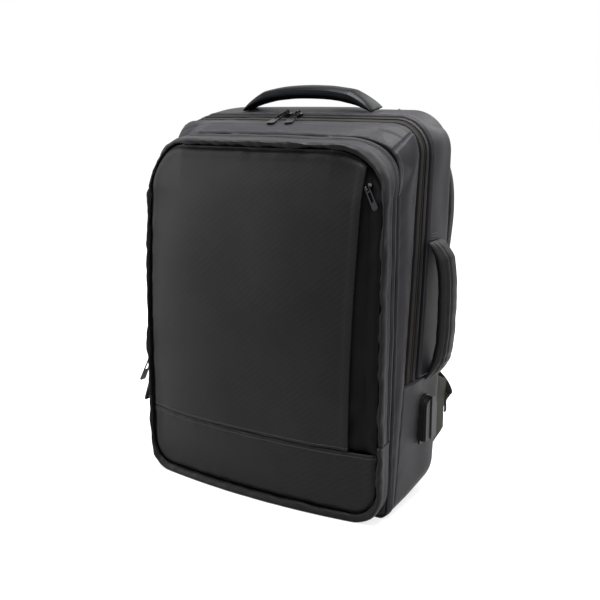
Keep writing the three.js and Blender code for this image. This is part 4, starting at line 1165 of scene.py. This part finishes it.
def handle(name, node, look, sizes, seat, relief):
    """Padded handle that rises from its sewn ends as 1 - share ^ fall, where the share runs from -1 to 1 and
    each half has its own fall. Its relief is given this share, the angle round and the length along in mm."""
    stations = []
    even = np.linspace(-1, 1, sizes["stations"])
    for share in np.sin(np.pi / 2 * even):
        point, across, out = seat(share)
        lift = max(0, 1 - abs(share) ** sizes["fall"][int(share > 0)])
        thick = mix(HANDLE_TAB, sizes["thickness"], min(1, 1.6 * lift) ** 0.8)
        middle = point + out * (CLEAR + (sizes["rise"] - sizes["thickness"]) * lift + thick / 2)
        width = mix(sizes["width"] + TAB_SPREAD, sizes["width"], lift)
        stations.append({"middle": middle, "across": across, "width": width, "height": thick})
    grid, _, _ = lofted(stations, sizes["steps"], sizes["power"])
    away, length = out_of_middle(grid)
    height = relief(even[:, None], angles(sizes["steps"])[None, :], length[:, None])
    obj = capped(name, grid + away * height[..., None])
    finish_piece(obj, look, node)


def top_handle():
    """Its seams run along the outer and the under side; folds cross it where it bends at its ends."""

    def relief(share, angle, length):
        body = smoothstep(0.0, 0.25, 1 - np.abs(share))
        under = welts(np.abs(angle - 1.5 * np.pi), (0.9, -0.5, 0.06))
        seam = welts(np.abs(angle - 0.5 * np.pi), (1.15, -0.7, 0.07))
        wrinkle = 0.35 * noise(91, length, angle * 8, 26, stretch=3) * (0.35 + 0.65 * np.abs(share) ** 3)
        folds = welts(length, *((at, -0.9, 2.2) for at in (9, 17, 186, 196)))
        return (under + seam) * body + wrinkle + folds * np.maximum(0, np.sin(angle))

    handle("padded_top_handle", "top_handle", "handle", TOP_HANDLE, top_seat, relief)


def side_handle():
    """Two pipings run along its outer side, and ribs cross its inner side."""

    def relief(share, angle, length):
        body = smoothstep(0.0, 0.2, 1 - np.abs(share))
        outer = angle - 0.5 * np.pi
        piping = welts(outer, (0.5, 1.2, 0.1), (-0.7, 1.0, 0.1), (0.26, -1.2, 0.09), (0.8, -1.0, 0.08))
        inner = np.maximum(0, -np.sin(angle)) * 0.5 * np.sin(TAU * length / 4.2)
        wrinkle = 0.35 * noise(92, length, angle * 8, 24, stretch=3)
        folds = welts(length, *((at, -1.1, 2.6) for at in (20, 29, 164)))
        return (piping + inner) * body + wrinkle + folds * np.maximum(0, np.sin(angle))

    handle("padded_side_handle", "side_handle", "grip", SIDE_HANDLE, side_seat, relief)


# Shoulder straps, buckles, webbing and wings

STRAP = table(
    "out up off wide",
    (0.425, 0.952, 0.62, 0.9),
    (0.5, 0.93, 1.1, 0.95),
    (0.62, 0.88, 2.3, 1),
    (0.69, 0.81, 2.95, 1),
    (0.715, 0.735, 2.95, 1),
    (0.725, 0.66, 2.4, 1),
    (0.725, 0.585, 1.8, 1),
    (0.725, 0.51, 1.5, 0.97),
    (0.725, 0.45, 1.4, 0.85),
    (0.725, 0.415, 1.4, 0.62),
)
STRAP_STEPS, STRAP_STATIONS, STRAP_LENGTH = 56, 110, 280
BINDING = {"across": [1, 0, 0], "width": 4.6, "height": 6.4}
BINDING_INSET, STRAP_SEAM = 1.6, 5
BUCKLE = {"length": 26, "thickness": 4, "bar": 4}
WING = {"thickness": 2.6, "root": 86, "reach": 32, "tip": 60, "low": 47}
WEB = {"width": 25, "thickness": 1.6, "tail": 46, "swing": 9}


def smooth_path(rows, count):
    """Catmull-Rom curve through rows of numbers, resampled to count rows."""
    rows = np.asarray(rows, dtype=float)
    padded = np.vstack([2 * rows[0] - rows[1], rows, 2 * rows[-1] - rows[-2]])
    t = np.linspace(0, len(rows) - 1, count)
    i = np.minimum(t.astype(int), len(rows) - 2)
    f = (t - i)[:, None]
    a, b, c, d = (padded[i + k] for k in range(4))
    return 0.5 * (2 * b + (c - a) * f + (2 * a - 5 * b + 4 * c - d) * f**2 + (3 * b - a - 3 * c + d) * f**3)


def strap_point(row, side):
    """Middle of the strap at a row: shares of the width and height, and thicknesses off the back."""
    z = BODY_HEIGHT * row["up"]
    back = depth_at(BODY[REAR_EDGE], 0, z) + BACK_PAD_RISE
    return np.array([side * BODY_WIDTH * row["out"] / 2, back + STRAP_THICKNESS * row["off"], z])


def shoulder_strap(label, side):
    """Padded strap with a bound and stitched edge on both sides."""
    rows = []
    for i, row in enumerate(STRAP):
        width = max(STRAP_WIDTH * row["wide"], STRAP_END_WIDTH)
        rows.append([*strap_point(row, side), width, STRAP_THICKNESS * (0.5 if i == len(STRAP) - 1 else 1)])
    path = smooth_path(rows, STRAP_STATIONS)
    middles, wide = path[:, :3], path[:, 3:4]
    stations = [{"middle": r[:3], "across": [1, 0, 0], "width": r[3], "height": r[4]} for r in path]
    grid, across, out = lofted(stations, STRAP_STEPS, 0.6)
    away, _ = out_of_middle(grid)
    length = np.linspace(0, STRAP_LENGTH, STRAP_STATIONS)[:, None]
    height = 0.4 * noise(95, length, angles(STRAP_STEPS)[None] * 10, 50) - 0.6
    obj = capped(f"padded_strap_{label}", grid + away * height[..., None])
    sewn = lambda points: sum(bell(np.linalg.norm(points - middles[end], axis=1), 22) for end in (0, -1))
    inflated(obj, 1.2, sewn)
    finish_piece(obj, "padding", f"shoulder_strap_{label}")
    for edge in (-1, 1):
        ending = f"strap_{label}_{'in' if edge * side < 0 else 'out'}"
        rim = middles + across * (wide / 2 - BINDING_INSET) * edge
        rounds = [{"middle": point, **BINDING} for point in rim]
        finish_piece(capped(f"binding_{ending}", lofted(rounds, 12, 1.0)[0]), "binding")
        seam = middles + across * (wide / 2 - STRAP_SEAM) * edge + out * (STRAP_THICKNESS * 0.45)
        stitches(f"stitches_{ending}", seam[4:-4], out[4:-4], lift=0.2)


def wing_rear(z):
    """Where a wing leaves the back along Y."""
    return depth_at(BODY[REAR_EDGE], 0, z) + CLEAR


def wing_end(z):
    """Where a wing ends along Y."""
    low, high = WING["low"], WING["low"] + WING["root"]
    share = (z - low) / WING["root"]
    return mix(wing_rear(low) + WING["reach"] * 0.93, wing_rear(high) + WING["reach"], share)


WING_MIDDLE = BODY_WIDTH / 2 * BODY[REAR_EDGE]["half"] - WALL / 2


def wing(label, side):
    """Four-sided tab of doubled cloth, a little fuller in its middle than along its turned edges."""
    w = WING
    t, s = np.meshgrid(np.linspace(0, 1, 20), np.linspace(0, 1, 40))
    inset = (w["root"] - w["tip"]) / 2 * t
    z = mix(w["low"] + inset, w["low"] + w["root"] - inset, s)
    y = mix(wing_rear(z), wing_end(z), t)
    edge = np.minimum(np.minimum(s * w["root"], (1 - s) * w["root"]), (1 - t) * w["reach"])
    full = (0.45 + 0.55 * smoothstep(0, 2.5, edge) - 0.25 * bell(edge - 4, 0.7)) * w["thickness"] / 2
    middle = side * WING_MIDDLE + 0.5 * noise(96, y, z, 40)
    outer, inner = (np.stack([middle + face * full, y, z], 2) for face in (1, -1))
    obj = shell(f"cloth_wing_{label}", outer, inner, False, (z, y))
    finish_piece(obj, "webbing", f"strap_wing_{label}")


WEB_SWEEP = table(
    "inward up bow turn",
    (0, 0, 0, 0),
    (0, 0, 2, 0),
    (0.02, 0.02, 4.5, 0.05),
    (0.12, 0.12, 8, 0.3),
    (0.3, 0.32, 8, 0.5),
    (0.6, 0.58, 3.5, 0.75),
    (0.87, 0.8, 0.5, 0.93),
)


def webbing(label, side):
    """Webbing from the wing, over the buckle's bar and down again as a free end. It makes a quarter turn
    before the buckle."""
    bar = strap_point(STRAP[-1], side) + np.array([0, 0, -BUCKLE["length"] / 2 - CLEAR])
    clear = WEB["thickness"] / 2 + CLEAR
    inner = BUCKLE["thickness"] / 2 + clear
    over = BUCKLE["bar"] / 2 + clear
    foot = bar[2] - BUCKLE["length"] / 2 - 2
    low = WING["low"] + WING["root"] / 2
    start = np.array([WING_MIDDLE, wing_end(low + WEB["width"]) + CLEAR, low])
    end = np.array([abs(bar[0]), bar[1] - inner, foot])
    rows = []
    for r in WEB_SWEEP:
        x, y, z = mix(start, end, np.array([r["inward"], r["inward"], r["up"]]))
        rows.append([x, y + r["bow"], z, r["turn"]])
    for y, z in (
        (-inner, foot),
        (-inner - 0.3, bar[2] + BUCKLE["bar"] / 2),
        (-inner * 0.7, bar[2] + over + 1),
        (inner * 0.7, bar[2] + over + 1),
        (inner + 0.3, bar[2] + BUCKLE["bar"] / 2),
        (inner, foot),
        (inner + WEB["swing"], foot - WEB["tail"]),
    ):
        rows.append([end[0], bar[1] + y, z, 1])
    size = {"width": WEB["width"], "height": WEB["thickness"]}
    stations = []
    for x, y, z, turn in smooth_path(rows, 120):
        lean = np.clip(turn, 0, 1) * np.pi / 2
        across = [side * np.sin(lean), 0, np.cos(lean)]
        stations.append({**size, "middle": [side * x, y, z], "across": across})
    obj = capped(f"ribbon_webbing_{label}", lofted(stations, 24, 0.25)[0])
    finish_piece(obj, "webbing", f"strap_webbing_{label}")


# Hard pieces keep the solids' own shape, with their edges eased

HARD = {"strap_buckle_left": ("plastic", 0.6), "strap_buckle_right": ("plastic", 0.6)}
HARD.update({"port_housing": ("plastic", 0.5), "port_cover": ("gloss", 0.6)})
for zip_end in ("main_left", "main_right", "pocket_upper", "pocket_lower", "flap"):
    HARD.update({f"{zip_end}_slider": ("metal", 0.35), f"{zip_end}_pull": ("metal", 0.3)})


def hard_pieces():
    """Gives each hard solid its look and a bevel of its own width in mm."""
    for node, (look, width) in HARD.items():
        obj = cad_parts[node]
        obj.data.materials.clear()
        obj.data.materials.append(MATERIALS[look])
        bevel = obj.modifiers.new("eased edges", "BEVEL")
        bevel.width = width * MM
        bevel.segments = 2
        bevel.limit_method = "ANGLE"
        bevel.angle_limit = math.radians(35)


# Seams and stitches


def line_on(skin, distance, from_end=False, turned=False):
    """Points and normals of a line on a skin, at a distance in mm from its first or last row, or column if
    turned."""
    outer, normal = skin
    if turned:
        outer, normal = outer.transpose(1, 0, 2), normal.transpose(1, 0, 2)
    if from_end:
        outer, normal = outer[::-1], normal[::-1]
    across = lengths_of(outer)[1]
    after = np.maximum((across >= distance).argmax(axis=0), 1)
    cols = np.arange(outer.shape[1])
    low, high = across[after - 1, cols], across[after, cols]
    share = ((distance - low) / np.maximum(high - low, 1e-6))[:, None]
    pick = lambda values: mix(values[after - 1, cols], values[after, cols], share)
    return pick(outer), pick(normal)


def seam_stitches(name, skin, distance, above=-FAR, from_end=False, turned=False, **thread):
    """Stitches along a line on a skin, as far as it lies above a height."""
    path, up = line_on(skin, distance, from_end, turned)
    keep = path[:, 2] > above
    stitches(name, path[keep], up[keep], **thread)


def bar_tack(z):
    """Close row of stitches across the right side, above the side handle."""
    ends = SIDE_HANDLE["middle"] - 10, SIDE_HANDLE["middle"] + 9
    path = np.array([side_point(y, z) + [0.9, 0, 0] for y in np.linspace(*ends, 30)])
    thread = {"pitch": 1.3, "length": 1.6, "radius": 0.5, "turned": True}
    stitches(f"stitches_bar_tack_{z}", path, np.tile([1.0, 0.0, 0.0], (30, 1)), **thread)


# The backpack

front = front_gusset()
zip_tape()
ZIP_SPAN = BODY_DEPTH * (BODY[ZIP_REAR]["head"] - BODY[ZIP_FRONT]["head"])
COIL_MIDDLE, COIL_REACH = mix(ZIP_FRONT, ZIP_REAR, 0.7), 3 / ZIP_SPAN
COIL_ENDS = COIL_MIDDLE - COIL_REACH, COIL_MIDDLE + COIL_REACH
coil("zip_coil_main", body_grid, *COIL_ENDS, 0.4, BASE_SEAM, 2.4, 9, "main_zip_coil")
rear = rear_gusset()
base = base_gusset()
pocket_rear_band()
pocket_tape()
coil("zip_coil_pocket", pocket_grid, 1.3, 1.7, 0.2, POCKET_BASE_SEAM, 2.0, 5)
pocket_gusset()
roll_base = pocket_base()
flap = front_flap()
lower = front_lower_panel()
front_side_strip()
front_wall()
back_panel()
top_handle()
side_handle()
for side_name, side_sign in (("left", -1), ("right", 1)):
    shoulder_strap(side_name, side_sign)
    wing(side_name, side_sign)
    webbing(side_name, side_sign)
hard_pieces()

seam_stitches("stitches_rim", front, 5.6, above=20)
seam_stitches("stitches_zip_front", front, 5, above=BASE_SEAM, from_end=True)
seam_stitches("stitches_zip_rear", rear, 5.5)
for end in (False, True):
    seam_stitches(f"stitches_base_{int(end)}", base, 3.4, from_end=end, turned=True, radius=0.42)
    seam_stitches(f"stitches_pocket_{int(end)}", roll_base, 3, from_end=end, turned=True)
seam_stitches("stitches_panel_upper", flap, 4.5)
seam_stitches("stitches_panel_lower", lower, 4.5, from_end=True)
for tack_height in (300, 303, 306):
    bar_tack(tack_height)


# Camera, floor and light

CAMERA = {"azimuth": 33, "pitch": 12.52, "lens": 54.48, "at": (579.8, -879.0, 450.9)}


def add_camera():
    """Camera that looks from its place along an azimuth and downwards by a pitch."""
    data = bpy.data.cameras.new("camera")
    data.sensor_width, data.lens = 36, CAMERA["lens"]
    data.clip_start, data.clip_end = 0.05, 50
    obj = bpy.data.objects.new("camera", data)
    azimuth, pitch = math.radians(CAMERA["azimuth"]), math.radians(CAMERA["pitch"])
    ahead = (-math.sin(azimuth) * math.cos(pitch), math.cos(azimuth) * math.cos(pitch), -math.sin(pitch))
    obj.rotation_euler = Vector(ahead).to_track_quat("-Z", "Y").to_euler()
    obj.location = Vector(CAMERA["at"]) * MM
    bpy.context.scene.collection.objects.link(obj)
    bpy.context.scene.camera = obj


LIGHTS = table(
    "name azimuth height distance size power",
    ("key", -62, 0.7, 1.7, 1.1, 24),
    ("side", 75, 1.2, 1.8, 1.0, 13),
    ("top", 20, 2.0, 0.15, 1.2, 132),
    ("back", 165, 1.6, 1.6, 1.2, 20),
)


def add_lights():
    """Soft area lights. Azimuth 0 stands in front, 90 on the right."""
    for row in LIGHTS:
        data = bpy.data.lights.new(row["name"], "AREA")
        data.shape, data.size, data.energy = "DISK", row["size"], row["power"]
        obj = bpy.data.objects.new(f"light_{row['name']}", data)
        a = math.radians(row["azimuth"])
        obj.location = (row["distance"] * math.sin(a), -row["distance"] * math.cos(a), row["height"])
        aim = Vector((0, 0, BODY_HEIGHT / 2 * MM)) - obj.location
        obj.rotation_euler = aim.to_track_quat("-Z", "Y").to_euler()
        bpy.context.scene.collection.objects.link(obj)


FLOOR_REACH, FLOOR_LEVEL, FLOOR_GREY, FLOOR_GLOW = 8000, -0.2, 0.3, 0.72


def add_stage():
    """White world, and a floor of mid grey that glows, so that it looks white but lights the bag little."""
    scene, world = bpy.context.scene, bpy.data.worlds.new("studio")
    scene.world = world
    world.use_nodes = True
    sky = world.node_tree.nodes["Background"].inputs
    sky["Color"].default_value, sky["Strength"].default_value = (1, 1, 1, 1), 1.0
    scene.view_settings.view_transform = "Standard"
    corners = ((-1, -1), (1, -1), (1, 1), (-1, 1))
    points = [(x * FLOOR_REACH, y * FLOOR_REACH, FLOOR_LEVEL) for x, y in corners]
    floor = make_mesh("floor", points, [[0, 1, 2, 3]])
    glow = {"emission_color": (1, 1, 1, 1), "emission_strength": FLOOR_GLOW}
    cover = Surface("floor", (FLOOR_GREY,) * 3, **finish(1, 0), **glow)
    floor.data.materials.append(cover.material)


add_camera()
add_lights()
add_stage()
